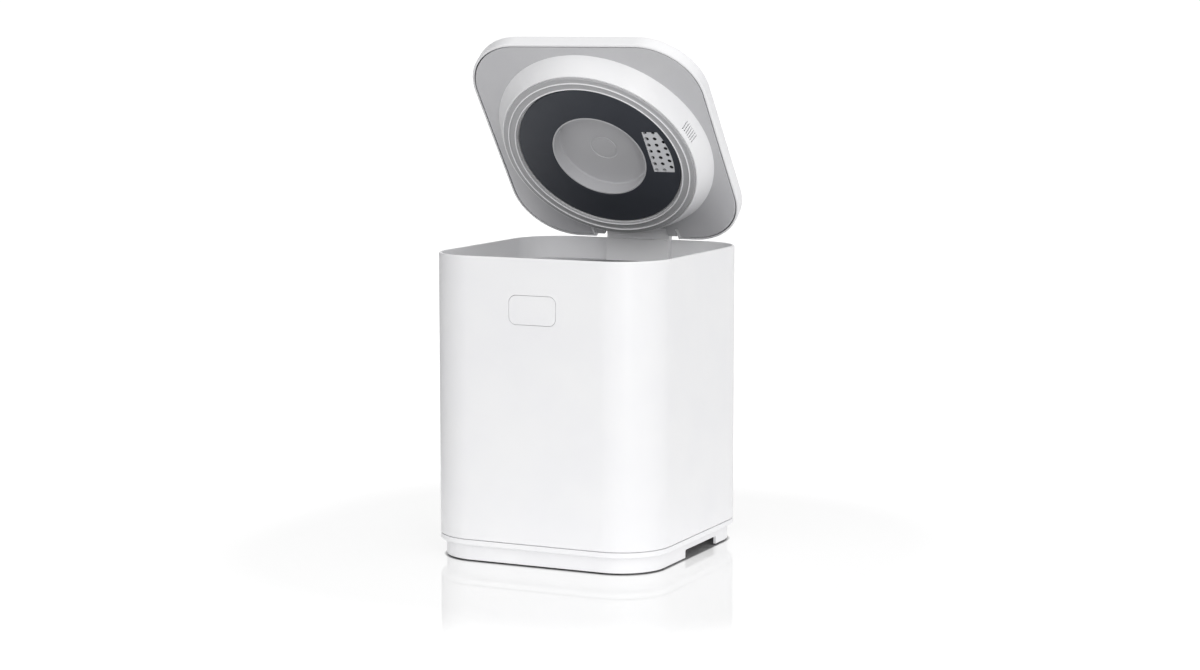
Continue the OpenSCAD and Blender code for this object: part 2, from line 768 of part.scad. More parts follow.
// the inlet's lead runs beside the motor, and the motor's own leads turn below it
lead_gap = 10.5;
lead_x = motor_at[0] - face_r - lead_gap;
lead_run = 25;
motor_lead_drop = 20;
motor_lead_y = motor_at[1] - motor_r - motor_lead_drop;
lead_z = power_z + board_t + 4;

module power_board() color("darkgreen") {
    translate([0, power_y, power_z + board_t / 2])
        cube([power_x, power_d, board_t], center = true);
    for (x = [-1, 1], y = [-1, 1])
        translate([x * (power_x / 2 - 5), power_y + y * (power_d / 2 - 5), floor_top])
            cylinder(r = 3, h = power_z - floor_top);
    translate([-40, power_y - 10, power_z + board_t]) cube([30, 26, 22]);
    for (x = [0, 20]) translate([x + 6, power_y + 8, power_z + board_t]) cylinder(r = 8, h = 25);
    for (x = [2, 24]) translate([x, power_y - 22, power_z + board_t]) cube([18, 12, 14]);
    translate([-45, terminal_y - 8, power_z + board_t]) cube([36, 8, 10]);
    for (x = [fan_lead_x, panel_lead_x]) translate([x - 5, terminal_y - 8, power_z + board_t]) cube([10, 8, 8]);
}

inlet_deep = 24;
magnet_dir = 245;

module power_inlet() color("black") difference() {
    union() {
        translate([inlet_x, body_d / 2 - 1.5, inlet_z]) cube([inlet_w, 3, inlet_h], center = true);
        translate([inlet_x, body_d / 2 - inlet_deep / 2, inlet_z])
            cube([inlet_w - 3, inlet_deep, inlet_h - 3], center = true);
        // clips that hold it behind the casing's wall
        translate([inlet_x, inner_d / 2 - 2, inlet_z]) cube([inlet_w + 4, 4, 8], center = true);
    }
    translate([inlet_x, body_d / 2 - 8, inlet_z]) cube([24, 18, 16.5], center = true);
}

module inlet_pins() color("silver")
    for (p = [[-7, -2], [7, -2], [0, 2]])
        translate([inlet_x + p[0] - 1, body_d / 2 - 17, inlet_z + p[1] - 2]) cube([2, 14, 4]);

module lid_switch() color("black")
    rotate(magnet_dir) translate([well_r + well_t + 14, -10, deck_z - deck_t - 10]) cube([7, 20, 10]);

// a wire swept through its corners, mitred at each bend
wire_sides = 10;
function unit(v) = v / norm(v);
function leg(p, i) = unit(p[i] - p[i - 1]);
function mitre(p, i) = i == len(p) - 1 ? leg(p, i) : unit(leg(p, i) + leg(p, i + 1));
function start_ring(p, r) =
    let (d = leg(p, 1), u = unit(cross(d, abs(d[2]) < 0.9 ? [0, 0, 1] : [1, 0, 0])), v = cross(d, u))
    [for (k = [0:wire_sides - 1])
        let (a = 360 * k / wire_sides) p[0] + r * (u * cos(a) + v * sin(a))];
// carries a ring along leg i to the mitre at its end
function next_ring(ring, p, i) =
    let (d = leg(p, i), n = mitre(p, i))
    [for (q = ring) q + d * (((p[i] - q) * n) / (d * n))];
function wire_points(p, r) =
    [for (i = 0, ring = start_ring(p, r); i < len(p);
          i = i + 1, ring = i < len(p) ? next_ring(ring, p, i) : ring) each ring];

module wire(p, r) {
    m = wire_sides;
    last = (len(p) - 1) * m;
    polyhedron(wire_points(p, r), concat(
        [[for (k = [0:m - 1]) k]],
        [for (i = [0:len(p) - 2], k = [0:m - 1])
            [i * m + k, (i + 1) * m + k, (i + 1) * m + (k + 1) % m, i * m + (k + 1) % m]],
        [[for (k = [m - 1:-1:0]) last + k]]));
}

wire_r = 1.6;
cable_r = 2.6;
lead_step = 0.6;

module motor_leads() color("firebrick")
    for (s = [-4, 4])
        wire([[motor_at[0] + s, motor_at[1] - motor_r - 0.1, lead_z],
              [motor_at[0] + s, motor_lead_y + lead_step * s, lead_z],
              [s - 32, terminal_y + 6 + lead_step * s, lead_z],
              [s - 32, terminal_y, lead_z]], wire_r);

module inlet_lead() color("black")
    wire([[inlet_x, body_d / 2 - inlet_deep, inlet_z],
          [inlet_x, body_d / 2 - inlet_deep - 12, inlet_z],
          [lead_x, body_d / 2 - 60, lead_z],
          [lead_x, power_y + 32, lead_z],
          [lead_x + lead_run, power_y + 2, lead_z],
          [-40, power_y + 2, lead_z]], cable_r);

module fan_lead() color("black")
    wire([[fan_x - fan_size / 2, fan_front + fan_depth / 2, fan_z],
          [fan_lead_x, fan_front + fan_depth / 2, fan_z],
          [fan_lead_x, fan_front - 4, lead_z],
          [fan_lead_x, terminal_y, lead_z]], wire_r);

module panel_lead() color("black")
    wire([[panel_lead_x, board_y + board_t + 3, button_z - 9],
          [panel_lead_x, board_y + board_t + 3, 54],
          [panel_lead_x, terminal_y + 8, 54],
          [panel_lead_x, terminal_y + 8, lead_z],
          [panel_lead_x, terminal_y, lead_z]], wire_r);

/* Lid */
lid_edge = 2;
cover_top = lid_top + lid_crown;
knuckle_w = 11;
knuckle_in = hinge_w / 2 + 0.8;
notch_w = 2 * (knuckle_in + knuckle_w + 1);
notch_front = hinge_y - 8;
bracket_y = notch_front - 2.2;
liner_t = 2.5;
liner_w = lid_w - 2 * lid_wall - 2 * slip;
liner_d = lid_d - 2 * lid_wall - 2 * slip;
liner_r = lid_r - lid_wall - slip;

// carries a piece from the closed lid to the open one
module open_lid() {
    translate([0, hinge_y, hinge_z]) rotate([-lid_open, 0, 0])
        translate([0, -hinge_y, -hinge_z]) children();
}

// thickness of one level of the lid's form
slab_t = 0.3;
// one level of the lid's outline, drawn in from its edge
module lid_slab(z, inset) {
    translate([0, 0, z]) linear_extrude(slab_t)
        rounded(lid_w - 2 * inset, lid_d - 2 * inset, max(lid_r - inset, 5), $fn = 72);
}

// the lid's whole form: a band with a soft edge under a low crown
module lid_form(shrink) {
    hull() {
        lid_slab(lid_z, lid_edge + shrink);
        lid_slab(lid_z + lid_edge, shrink);
        lid_slab(lid_top - shrink * 0.3, shrink);
        lid_slab(lid_top + lid_crown * 0.34 - shrink * 0.6, 1.2 + shrink);
        lid_slab(lid_top + lid_crown * 0.62 - shrink * 0.9, 4.5 + shrink);
        lid_slab(lid_top + lid_crown * 0.84 - shrink, 12 + shrink);
        lid_slab(cover_top - slab_t - shrink, 34 + shrink);
    }
}

module lid_notch() {
    translate([-notch_w / 2, notch_front, lid_z - 5]) cube([notch_w, 60, 60]);
}

screw_ring = 118;
boss_top = cover_top - lid_wall / 2;

module at_lid_screws() {
    for (a = [45:90:315]) rotate(a) translate([screw_ring, 0]) children();
}

module lid_cover() color("white") open_lid() difference() {
    union() {
        difference() {
            lid_form(0);
            difference() {
                translate([0, 0, -0.02]) lid_form(lid_wall);
                translate([-notch_w / 2 - wall, bracket_y, 0]) cube([notch_w + 2 * wall, 60, 500]);
            }
            translate([0, 0, lid_z - 1]) linear_extrude(lid_edge + 1.1) difference() {
                rounded(lid_w - 2 * lid_wall, lid_d - 2 * lid_wall, lid_r - lid_wall);
                translate([0, lid_d / 2]) square([notch_w + 2 * wall, 2 * (lid_d / 2 - bracket_y)], center = true);
            }
        }
        at_lid_screws() translate([0, 0, lid_z + liner_t]) cylinder(r = 4, h = boss_top - lid_z - liner_t);
    }
    lid_notch();
    for (x = [-1, 1])
        translate([x * (knuckle_in + knuckle_w / 2), notch_front, lid_z])
            cube([knuckle_w + 2 * slip, 10, 2 * (liner_t + slip)], center = true);
    at_lid_screws() translate([0, 0, lid_z + liner_t - 1]) cylinder(r = 1.5, h = 9);
}

module lid_liner() color("silver") open_lid() difference() {
    union() {
        translate([0, 0, lid_z]) linear_extrude(liner_t) difference() {
            rounded(liner_w, liner_d, liner_r);
            circle(screw_ring - 6);
            translate([0, lid_d / 2])
                square([notch_w + 2 * wall + 2 * slip, 2 * (lid_d / 2 - bracket_y + slip)], center = true);
        }
        for (x = [-1, 1]) translate([x * (knuckle_in + knuckle_w / 2), 0, 0]) {
            translate([-knuckle_w / 2, bracket_y - 5, lid_z])
                cube([knuckle_w, hinge_y + 1 - bracket_y + 5, liner_t]);
            translate([-knuckle_w / 2, notch_front + slip, lid_z])
                cube([knuckle_w, hinge_y + 1 - notch_front - slip, hinge_z - lid_z]);
            translate([-knuckle_w / 2, hinge_y, hinge_z]) rotate([0, 90, 0])
                cylinder(r = hinge_r, h = knuckle_w);
        }
    }
    translate([-body_w / 2, hinge_y, hinge_z]) rotate([0, 90, 0]) cylinder(r = pin_r, h = body_w);
    at_lid_screws() translate([0, 0, lid_z - 1]) cylinder(r = 1.5, h = 9);
}

module lid_screws() color("silver") open_lid() at_lid_screws() {
    translate([0, 0, lid_z - 1.8]) cylinder(r = 2.8, h = 1.8);
    translate([0, 0, lid_z]) cylinder(r = 1.5, h = liner_t + 7);
}

module hinge_pins() color("silver") open_lid()
    for (x = [-1, 1])
        translate([x * (knuckle_in + knuckle_w - pin_len / 2), hinge_y, hinge_z])
            rotate([0, 90, 0]) cylinder(r = pin_r, h = pin_len, center = true);

module friction_washers() color("gray") open_lid()
    for (x = [-1, 1])
        translate([x * (knuckle_in - 0.25), hinge_y, hinge_z]) rotate([0, 90, 0]) difference() {
            cylinder(r = 4, h = 0.5, center = true);
            cylinder(r = pin_r, h = 2, center = true);
        }

/* Filter drum */
drum_wall = 2.5;
ledge_in = cap_r - 4;
holder_r = cap_r + 0.3;
cap_t = 3;
slit_w = 1.1;
slit_len = 9;
slit_rise = 8.2;
slit_from = -20.5;
slit_step = 1.6;
slit_lean = 16;
gasket_t = 1.5;

module filter_drum() color("white") open_lid() difference() {
    rotate_extrude($fn = 120) polygon([
        [drum_base_r, lid_z],
        [drum_base_r - drum_wall, lid_z],
        [drum_end_r - drum_wall, drum_z + drum_wall],
        [holder_r + 2, drum_z + drum_wall],
        [holder_r + 2, drum_z + grip_depth],
        [holder_r, drum_z + grip_depth],
        [holder_r, drum_z + cap_t + 2],
        [ledge_in, drum_z + cap_t + 2],
        [ledge_in, drum_z + cap_t],
        [holder_r, drum_z + cap_t],
        [holder_r, drum_z],
        [drum_end_r, drum_z]]);
    for (i = [0:slits - 1])
        rotate(slit_from + i * slit_step)
            translate([(drum_base_r + drum_end_r) / 2, 0, drum_z + slit_rise])
            rotate([slit_lean, 0, 0]) cube([24, slit_w, slit_len], center = true);
}

module lid_gasket() color("slategray") open_lid()
    rotate_extrude($fn = 120) {
        translate([holder_r + 1, drum_z - gasket_t])
            square([drum_end_r - holder_r - 2, gasket_t]);
        for (r = [holder_r + 2.4, holder_r + 10.2])
            translate([r, bucket_top + slip])
                square([1.4, drum_z - gasket_t - bucket_top - slip + 0.2]);
    }

grille_in = grip_r + 5.9;
grille_out = cap_r - 6.5;
grille_front = -37.5;
grille_rear = 20;
grille_face = 1.6;
grille_rim = 2;
hole_in = 3.8;
hole_step_x = 9.4;
hole_step_y = 8.95;

// window of the air inlet: straight inner sides, and the cap's own curve outside
module grille_window(grow) intersection() {
    circle(r = grille_out + grow, $fn = 120);
    translate([grille_in - grow, grille_front - grow])
        square([grille_out, grille_rear - grille_front + 2 * grow]);
}

// three rows of holes, the outer one half a step on; those at the sides are cut by them
module at_grille_holes() {
    for (column = [0:2], row = [0:6])
        let (y = grille_front + 1 + (row + (column == 2 ? 0.5 : 0)) * hole_step_y)
        if (y < grille_rear)
            translate([grille_in + hole_in + column * hole_step_x, y]) children();
}

module filter_cap() color([0.22, 0.22, 0.25]) open_lid() translate([0, 0, drum_z])
    linear_extrude(cap_t) difference() {
        circle(cap_r, $fn = 120);
        circle(grip_r, $fn = 120);
        grille_window(0);
    }

module inlet_grille() color("lightgray") open_lid() difference() {
    union() {
        translate([0, 0, drum_z + 0.4]) linear_extrude(cap_t - 0.4) grille_window(-0.1);
        translate([0, 0, drum_z + cap_t]) linear_extrude(1) grille_window(1.5);
    }
    translate([0, 0, drum_z + 0.4 + grille_face]) linear_extrude(cap_t + 1) grille_window(-grille_rim);
    at_grille_holes() translate([0, 0, drum_z - 1]) cylinder(r = grille_hole_r, h = cap_t + 1, $fn = 24);
}

cup_t = 2;
ring_r = 16.4;
ring_w = 2.8;
ring_deep = 0.8;

module grip_cup() color("gainsboro") open_lid() difference() {
    union() {
        translate([0, 0, drum_z + 0.3]) cylinder(r = grip_r - 0.1, h = grip_depth + cup_t - 0.3, $fn = 120);
        translate([0, 0, drum_z + cap_t]) cylinder(r = grip_r + 4, h = cup_t, $fn = 120);
    }
    translate([0, 0, drum_z - 1]) cylinder(r = grip_r - cup_t, h = grip_depth + 1, $fn = 120);
    // a shallow ring in the cup's floor
    translate([0, 0, drum_z + grip_depth - 1]) difference() {
        cylinder(r = ring_r, h = ring_deep + 1, $fn = 96);
        translate([0, 0, -1]) cylinder(r = ring_r - ring_w, h = ring_deep + 3, $fn = 96);
    }
}

module carbon_filter() color([0.15, 0.15, 0.16]) open_lid() translate([0, 0, drum_z + cap_t + 2])
    difference() {
        cylinder(r = cap_r - 0.8, h = grip_depth - cap_t - 2, $fn = 96);
        translate([0, 0, -1]) cylinder(r = grip_r + 0.6, h = 40, $fn = 96);
        translate([0, 0, -1]) cylinder(r = grip_r + 4.6, h = 1.6, $fn = 96);
    }

module lid_magnet() color("silver") open_lid()
    rotate(magnet_dir) translate([(drum_end_r + holder_r) / 2, 0, drum_z + drum_wall]) cylinder(r = 4, h = 3);

base_plinth();
rubber_feet();
outer_shell();
top_deck();
hinge_block();
block_screws();
bucket();
bucket_bush();
bail_rivets();
bail_handle();
fixed_blades();
stirring_rotor();
driven_claw();
drive_claw();
heating_well();
well_seal();
heater_band();
insulation_sleeve();
heat_sensor();
well_standoffs();
gearbox_housing();
motor_screws();
drive_plate();
plate_screws();
shaft_bushes();
output_shaft();
output_gear();
idler_gear();
idler_axle();
motor_pinion();
drive_motor();
motor_shaft();
exhaust_duct();
fan_housing();
fan_impeller();
exhaust_grille();
fan_screws();
start_button();
control_board();
board_screws();
power_board();
power_inlet();
inlet_pins();
lid_switch();
motor_leads();
inlet_lead();
fan_lead();
panel_lead();
lid_cover();
lid_liner();
lid_screws();
hinge_pins();
friction_washers();
filter_drum();
lid_gasket();
filter_cap();
inlet_grille();
grip_cup();
carbon_filter();
lid_magnet();
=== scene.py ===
"""A countertop electric composter with its lid raised, dressed over its own solid model.

Lengths in the classes are millimetres, in the frame of the solid model: the floor is z = 0
and the front faces -Y. Meshes are written in metres. The lid's pieces are drawn shut and
then swung open about the hinge.
"""

import json
import logging
import math
from dataclasses import dataclass, field
from enum import Enum
from typing import Sequence

import bmesh
import bpy
from bpy.types import Material, Node, NodeSocket, Object, World
from mathutils import Matrix, Vector

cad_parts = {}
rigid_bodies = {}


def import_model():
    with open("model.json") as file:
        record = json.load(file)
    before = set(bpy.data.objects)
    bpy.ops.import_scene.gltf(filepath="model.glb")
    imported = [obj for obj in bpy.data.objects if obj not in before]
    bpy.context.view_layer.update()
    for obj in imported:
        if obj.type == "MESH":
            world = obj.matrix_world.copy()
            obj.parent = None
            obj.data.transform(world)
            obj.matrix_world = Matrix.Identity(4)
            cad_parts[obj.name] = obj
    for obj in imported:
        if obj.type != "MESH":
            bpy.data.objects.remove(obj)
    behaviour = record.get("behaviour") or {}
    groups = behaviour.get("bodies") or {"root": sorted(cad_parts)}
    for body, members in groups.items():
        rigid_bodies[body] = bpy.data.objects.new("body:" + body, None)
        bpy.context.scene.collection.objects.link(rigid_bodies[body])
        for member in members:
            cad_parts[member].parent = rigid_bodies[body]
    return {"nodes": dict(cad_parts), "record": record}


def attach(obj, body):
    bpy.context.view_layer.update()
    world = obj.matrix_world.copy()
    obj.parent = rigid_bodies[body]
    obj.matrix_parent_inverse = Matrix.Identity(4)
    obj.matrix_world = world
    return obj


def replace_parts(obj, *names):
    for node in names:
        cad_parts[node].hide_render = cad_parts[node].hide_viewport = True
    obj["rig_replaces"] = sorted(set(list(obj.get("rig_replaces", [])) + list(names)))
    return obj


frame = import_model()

log = logging.getLogger("composter")

MM = 0.001
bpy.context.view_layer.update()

# Edges sharper than this stay crisp, and edges sharper than the second are bevelled.
CRISP_DEG = 32.0
BEVEL_DEG = 40.0
# Turned forms end this far from their axis, so that no two points fall together.
HUB = 0.4

Point2 = tuple[float, float]
Point3 = tuple[float, float, float]
Corner = tuple[float, float, float]
Plan = tuple[float, float, float]
Ring = list[Point3]
Source = Node | NodeSocket


# Colour and shader nodes


def linear_from_hex(hex_colour: str) -> tuple[float, float, float, float]:
    """Turn an sRGB hex colour into the linear RGBA that shaders take.

    Args:
        hex_colour: Six hex digits after a '#'.

    Returns:
        Linear red, green, blue and an alpha of 1.
    """
    channels = [int(hex_colour[i : i + 2], 16) / 255 for i in (1, 3, 5)]
    linear = [c / 12.92 if c <= 0.04045 else ((c + 0.055) / 1.055) ** 2.4 for c in channels]
    return (linear[0], linear[1], linear[2], 1.0)


def scale_of(size_mm: float) -> float:
    """Scale at which one cell of a pattern measures a size in millimetres."""
    return 1 / (size_mm * MM)


class Graph:
    """The shader nodes of one material or world, with the place that they shade."""

    def __init__(self, owner: Material | World, coordinates: str = "Object") -> None:
        """Clear the owner's nodes and take its coordinates.

        Args:
            owner: Material or world.
            coordinates: "Object" for a place in metres, "Generated" for a world's direction.
        """
        owner.use_nodes = True
        self.tree = owner.node_tree
        self.tree.nodes.clear()
        self.place = self.add("TexCoord").outputs[coordinates]

    def add(
        self,
        kind: str,
        inputs: dict[str | int, object] | None = None,
        stops: Sequence[tuple[float, str]] = (),
        **settings: object,
    ) -> Node:
        """Add one node, set it up and link it.

        Args:
            kind: Blender's node type, without "ShaderNode".
            inputs: By input socket, a value, or the node or socket that feeds it.
            stops: Positions and hex colours of a colour ramp.
            **settings: Properties of the node itself.

        Returns:
            The new node.
        """
        node = self.tree.nodes.new("ShaderNode" + kind)
        for name, value in settings.items():
            setattr(node, name, value)
        for socket, value in (inputs or {}).items():
            if isinstance(value, Node):
                value = value.outputs[0]
            if isinstance(value, NodeSocket):
                self.tree.links.new(value, node.inputs[socket])
            else:
                node.inputs[socket].default_value = value
        if stops:
            elements = node.color_ramp.elements
            while len(elements) < len(stops):
                elements.new(0.5)
            for element, (position, colour) in zip(elements, stops):
                element.position = position
                element.color = linear_from_hex(colour)
        return node


class Lay(Enum):
    """Which way the marks of brushing or turning run."""

    ALONG_X = (1.0, 0.03, 1.0)
    ALONG_Z = (1.0, 1.0, 0.03)
    NONE = (1.0, 1.0, 1.0)


@dataclass(frozen=True)
class Finish:
    """A material named for what it is and how its surface was made.

    The base class gives a smooth body colour that drifts a little, a fine grain in relief
    and a gloss that wanders, each at its own real size. The grain is its size and its
    depth in millimetres.
    """

    label: str
    colour: str
    drift_colour: str
    roughness: float
    ior: float = 1.5
    metallic: float = 0.0
    drift_mm: float = 60.0
    grain: Point2 = (0.6, 0.01)
    gloss_spread: float = 0.04
    gloss_mm: float = 25.0
    coat: float = 0.0
    coat_roughness: float = 0.1
    sheen: float = 0.0

    def material(self) -> Material:
        """Build the Blender material.

        Returns:
            A new material with its node tree.
        """
        material = bpy.data.materials.new(self.label)
        graph = Graph(material)
        shader = graph.add(
            "BsdfPrincipled",
            {
                "Base Color": self.body_colour(graph),
                "Roughness": self.gloss(graph),
                "Normal": self.relief(graph),
                "IOR": self.ior,
                "Metallic": self.metallic,
                "Coat Weight": self.coat,
                "Coat Roughness": self.coat_roughness,
                "Sheen Weight": self.sheen,
            },
        )
        graph.add("OutputMaterial", {"Surface": shader})
        return material

    def body_colour(self, graph: Graph) -> Source:
        """Drift slowly between the body's two colours."""
        blotch = graph.add("TexNoise", {"Scale": scale_of(self.drift_mm), "Vector": graph.place})
        return graph.add("ValToRGB", {"Fac": blotch}, [(0.3, self.colour), (0.75, self.drift_colour)])

    def gloss(self, graph: Graph) -> Source:
        """Let the roughness wander about its typical value.

        Args:
            graph: Nodes of the material.

        Returns:
            Source of the roughness.
        """
        wander = graph.add("TexNoise", {"Scale": scale_of(self.gloss_mm), "Vector": graph.place})
        low = max(self.roughness - self.gloss_spread, 0.02)
        high = min(self.roughness + self.gloss_spread, 1.0)
        return graph.add("MapRange", {"Value": wander, "To Min": low, "To Max": high})

    def height(self, graph: Graph) -> Source:
        """Height of the grain, from 0 to 1."""
        return graph.add("TexNoise", {"Scale": scale_of(self.grain[0]), "Vector": graph.place})

    def relief(self, graph: Graph) -> Source:
        """Turn the grain's height into a bumped normal."""
        return graph.add("Bump", {"Distance": self.grain[1] * MM, "Height": self.height(graph)})


@dataclass(frozen=True)
class BrushedMetal(Finish):
    """Metal with fine parallel marks left by brushing, drawing or turning."""

    lay: Lay = Lay.ALONG_Z

    def height(self, graph: Graph) -> Source:
        """Stretch the grain along the lay."""
        along = graph.add("VectorMath", {0: graph.place, 1: self.lay.value}, operation="MULTIPLY")
        return graph.add("TexNoise", {"Scale": scale_of(self.grain[0]), "Detail": 3.0, "Vector": along})


@dataclass(frozen=True)
class Granular(Finish):
    """A surface of packed grains, each its own shade and height."""

    def cells(self, graph: Graph) -> Node:
        """Divide the surface into cells of the grain's size."""
        return graph.add("TexVoronoi", {"Scale": scale_of(self.grain[0]), "Vector": graph.place})

    def body_colour(self, graph: Graph) -> Source:
        """Shade each grain by itself."""
        grey = graph.add("RGBToBW", {"Color": self.cells(graph).outputs["Color"]})
        return graph.add("ValToRGB", {"Fac": grey}, [(0.25, self.colour), (0.8, self.drift_colour)])

    def height(self, graph: Graph) -> Source:
        """Dome each grain."""
        return graph.add("Math", {0: 1.0, 1: self.cells(graph)}, operation="SUBTRACT")


@dataclass(frozen=True)
class Fibrous(Finish):
    """Felted fibre: matted strands with a soft sheen."""

    sheen: float = 0.4
    tangle_mm: float = 9.0
    tangle: float = 0.004

    def height(self, graph: Graph) -> Source:
        """Tangle the strands by bending one noise with another.

        Args:
            graph: Nodes of the material.

        Returns:
            Source of the height.
        """
        bend = graph.add("TexNoise", {"Scale": scale_of(self.tangle_mm), "Vector": graph.place})
        bent = graph.add(
            "MixRGB",
            {"Fac": self.tangle, "Color1": graph.place, "Color2": bend.outputs["Color"]},
            blend_type="ADD",
        )
        return graph.add("TexNoise", {"Scale": scale_of(self.grain[0]), "Detail": 6.0, "Vector": bent})


@dataclass(frozen=True)
class RidgedSilicone(Finish):
    """Cast silicone with a painted highlight along its thin ridges: the colour pales towards their tips.

    The height is taken along the raised lid's axis.
    """

    # Colour of the painted highlight on the ridges' tips.
    tip_colour: str = "#f2f2f4"
    axis: Point3 = (0.0, 0.788, 0.6157)
    ridge: Point2 = (284.05, 285.35)

    def body_colour(self, graph: Graph) -> Source:
        """Paint a highlight on the ridges' tips by paling the body colour towards them.

        Args:
            graph: Nodes of the material.

        Returns:
            Source of the colour.
        """
        along = graph.add("VectorMath", {0: graph.place, 1: self.axis}, operation="DOT_PRODUCT")
        tip, root = self.ridge[0] * MM, self.ridge[1] * MM
        depth = graph.add("MapRange", {"Value": along.outputs["Value"], "From Min": tip, "From Max": root})
        stops = [(0.0, self.tip_colour), (0.4, self.tip_colour), (0.7, self.drift_colour), (1.0, self.colour)]
        return graph.add("ValToRGB", {"Fac": depth}, stops)


@dataclass(frozen=True)
class CircuitLaminate(Finish):
    """Green solder mask over copper tracks that show as faint raised lines."""

    gap_colour: str = "#0a3a1e"
    gap: float = 0.04
    field_mm: float = 20.0

    def body_colour(self, graph: Graph) -> Source:
        """Lay tracks and gaps in two greens.

        Args:
            graph: Nodes of the material.

        Returns:
            Source of the colour.
        """
        greens = [linear_from_hex(c) for c in (self.colour, self.drift_colour, self.gap_colour)]
        inputs = dict(zip(("Color1", "Color2", "Mortar"), greens))
        inputs |= {"Scale": scale_of(self.field_mm), "Mortar Size": self.gap, "Vector": graph.place}
        return graph.add("TexBrick", inputs)


@dataclass(frozen=True)
class Speckled(Finish):
    """A baked coating with fine pale flecks in it."""

    fleck: str = "#8d9094"
    fleck_mm: float = 1.1

    def body_colour(self, graph: Graph) -> Source:
        """Scatter flecks in the coating.

        Args:
            graph: Nodes of the material.

        Returns:
            Source of the colour.
        """
        cells = graph.add("TexVoronoi", {"Scale": scale_of(self.fleck_mm), "Vector": graph.place})
        stops = [(0.0, self.fleck), (0.11, self.colour), (0.5, self.colour), (1.0, self.drift_colour)]
        return graph.add("ValToRGB", {"Fac": cells}, stops)


class Slot(Enum):
    """The record's material slots, each with its finish.

    A finish gives its label, its two colours, roughness, IOR and metallic. Grain of 0.05
    to 0.2 mm is drawn at 0.3 to 1.8 mm, as coarse as it needs to show.
    """

    # Moulded ABS polished in the tool: clean white with a soft, even gloss.
    white_abs = Finish(
        "white_abs_moulded", "#ebebec", "#e8e8ea", 0.3, 1.53,
        grain=(1.2, 0.004), gloss_spread=0.02, gloss_mm=40.0,
    )
    # The same plastic in light grey, spark textured: no clear reflections.
    light_grey_abs = Finish("light_grey_abs_moulded", "#c5c5c7", "#c0c0c3", 0.5, 1.53, grain=(0.7, 0.02))
    light_grey_grille = Finish("light_grey_abs_grille", "#d8d9dc", "#d3d4d7", 0.42, 1.53, grain=(0.7, 0.015))
    # Charcoal ABS with a fine moulded texture: dark, with a broad dull highlight.
    charcoal_abs = Finish("charcoal_abs_textured", "#3b3e45", "#363940", 0.48, 1.53, grain=(0.8, 0.03))
    # Silicone cast against a smooth tool: soft edges and a waxy sheen, and a painted highlight on its ridges'
    # tips.
    grey_silicone = RidgedSilicone("grey_silicone_cast", "#b0b0b2", "#b6b6b8", 0.42, 1.41, grain=(1.5, 0.01))
    # Nitrile rubber: near black and dull.
    black_rubber = Finish("black_rubber_moulded", "#1d1d1e", "#262627", 0.72, grain=(0.9, 0.04))
    # Glass-filled nylon as moulded: black with a slight orange peel.
    black_plastic = Finish("black_nylon_moulded", "#1b1c1e", "#222326", 0.45, 1.53, grain=(1.0, 0.02))
    # Pelleted activated carbon behind its mesh, pellets about 2 mm across.
    active_carbon = Granular("active_carbon_pellets", "#0e0e0f", "#2c2c2e", 0.8, 1.6, grain=(2.2, 0.6))
    # Spun aluminium under a baked non-stick coat with flecks.
    coated_aluminium = Speckled(
        "aluminium_nonstick_coated", "#3a3b3d", "#2f3032", 0.36,
        grain=(1.4, 0.015), coat=0.25, coat_roughness=0.28,
    )
    # Die-cast aluminium left bare: a pebbled, greyish metal.
    cast_aluminium = Granular("aluminium_die_cast", "#a9abad", "#bdbfc1", 0.46, 1.5, 1.0, grain=(1.3, 0.05))
    # Stainless steel, brushed: long fine marks that draw the highlight out.
    steel = BrushedMetal("stainless_steel_brushed", "#b9babc", "#a8aaad", 0.3, 1.5, 1.0, grain=(0.35, 0.01))
    # Nylon claws as moulded: dark and slightly waxy.
    claw_nylon = Finish("dark_nylon_moulded", "#34353a", "#3d3e43", 0.5, 1.53)
    # Acetal as cut: creamy white, slippery looking.
    gear_acetal = Finish("acetal_hobbed", "#e9e6dc", "#dedbd0", 0.38, 1.48, grain=(0.5, 0.01))
    # Brass as turned: warm yellow with fine rings.
    brass = BrushedMetal("brass_turned", "#c9a45a", "#b48d47", 0.28, 1.5, 1.0, grain=(0.3, 0.008))
    # Slate nylon for the gearbox, as moulded.
    housing_nylon = Finish("slate_nylon_moulded", "#5b6570", "#535d68", 0.5, 1.53, grain=(1.0, 0.03))
    # Mica band with foil: amber, with a layered shine.
    mica_heater = BrushedMetal(
        "mica_band_pressed", "#b5954f", "#8f7238", 0.36, 1.58, 0.3,
        grain=(1.8, 0.03), lay=Lay.ALONG_X,
    )
    # Needled fibre blanket, cream.
    felt = Fibrous("fibre_blanket_needled", "#e2dac6", "#cfc5ac", 0.95, 1.45, grain=(1.6, 0.5))
    # Fired steatite: cream and faintly speckled.
    standoff_ceramic = Speckled("steatite_fired", "#dccfb3", "#cdbf9f", 0.6, 1.6, fleck="#b9a67e")
    # Zinc-plated steel screws: bright with a milky cast.
    zinc_screws = BrushedMetal("steel_zinc_plated", "#bdc0c4", "#a9adb3", 0.32, 1.5, 1.0, grain=(0.4, 0.008))
    # Nickel plate on brass and on the magnet: mirror-like, warm grey.
    nickel = BrushedMetal(
        "nickel_plated", "#c8c3b6", "#b5b0a3", 0.18, 1.5, 1.0,
        grain=(0.5, 0.003), lay=Lay.NONE,
    )
    # Solder mask on glass laminate.
    circuit_board = CircuitLaminate(
        "laminate_solder_masked", "#14532d", "#1a6136", 0.35, 1.55, grain=(0.8, 0.01)
    )
    # Wire sleeves as extruded, in silicone and in PVC.
    wire_red = Finish("red_silicone_extruded", "#9b2320", "#8a1d1b", 0.45, 1.41, grain=(0.8, 0.01))
    wire_black = Finish("black_pvc_extruded", "#1a1a1b", "#232324", 0.42, 1.52, grain=(0.8, 0.01))

    def __init__(self, finish: Finish) -> None:
        """Keep the finish and, once it is built, its material."""
        self.finish = finish
        self.built: Material | None = None

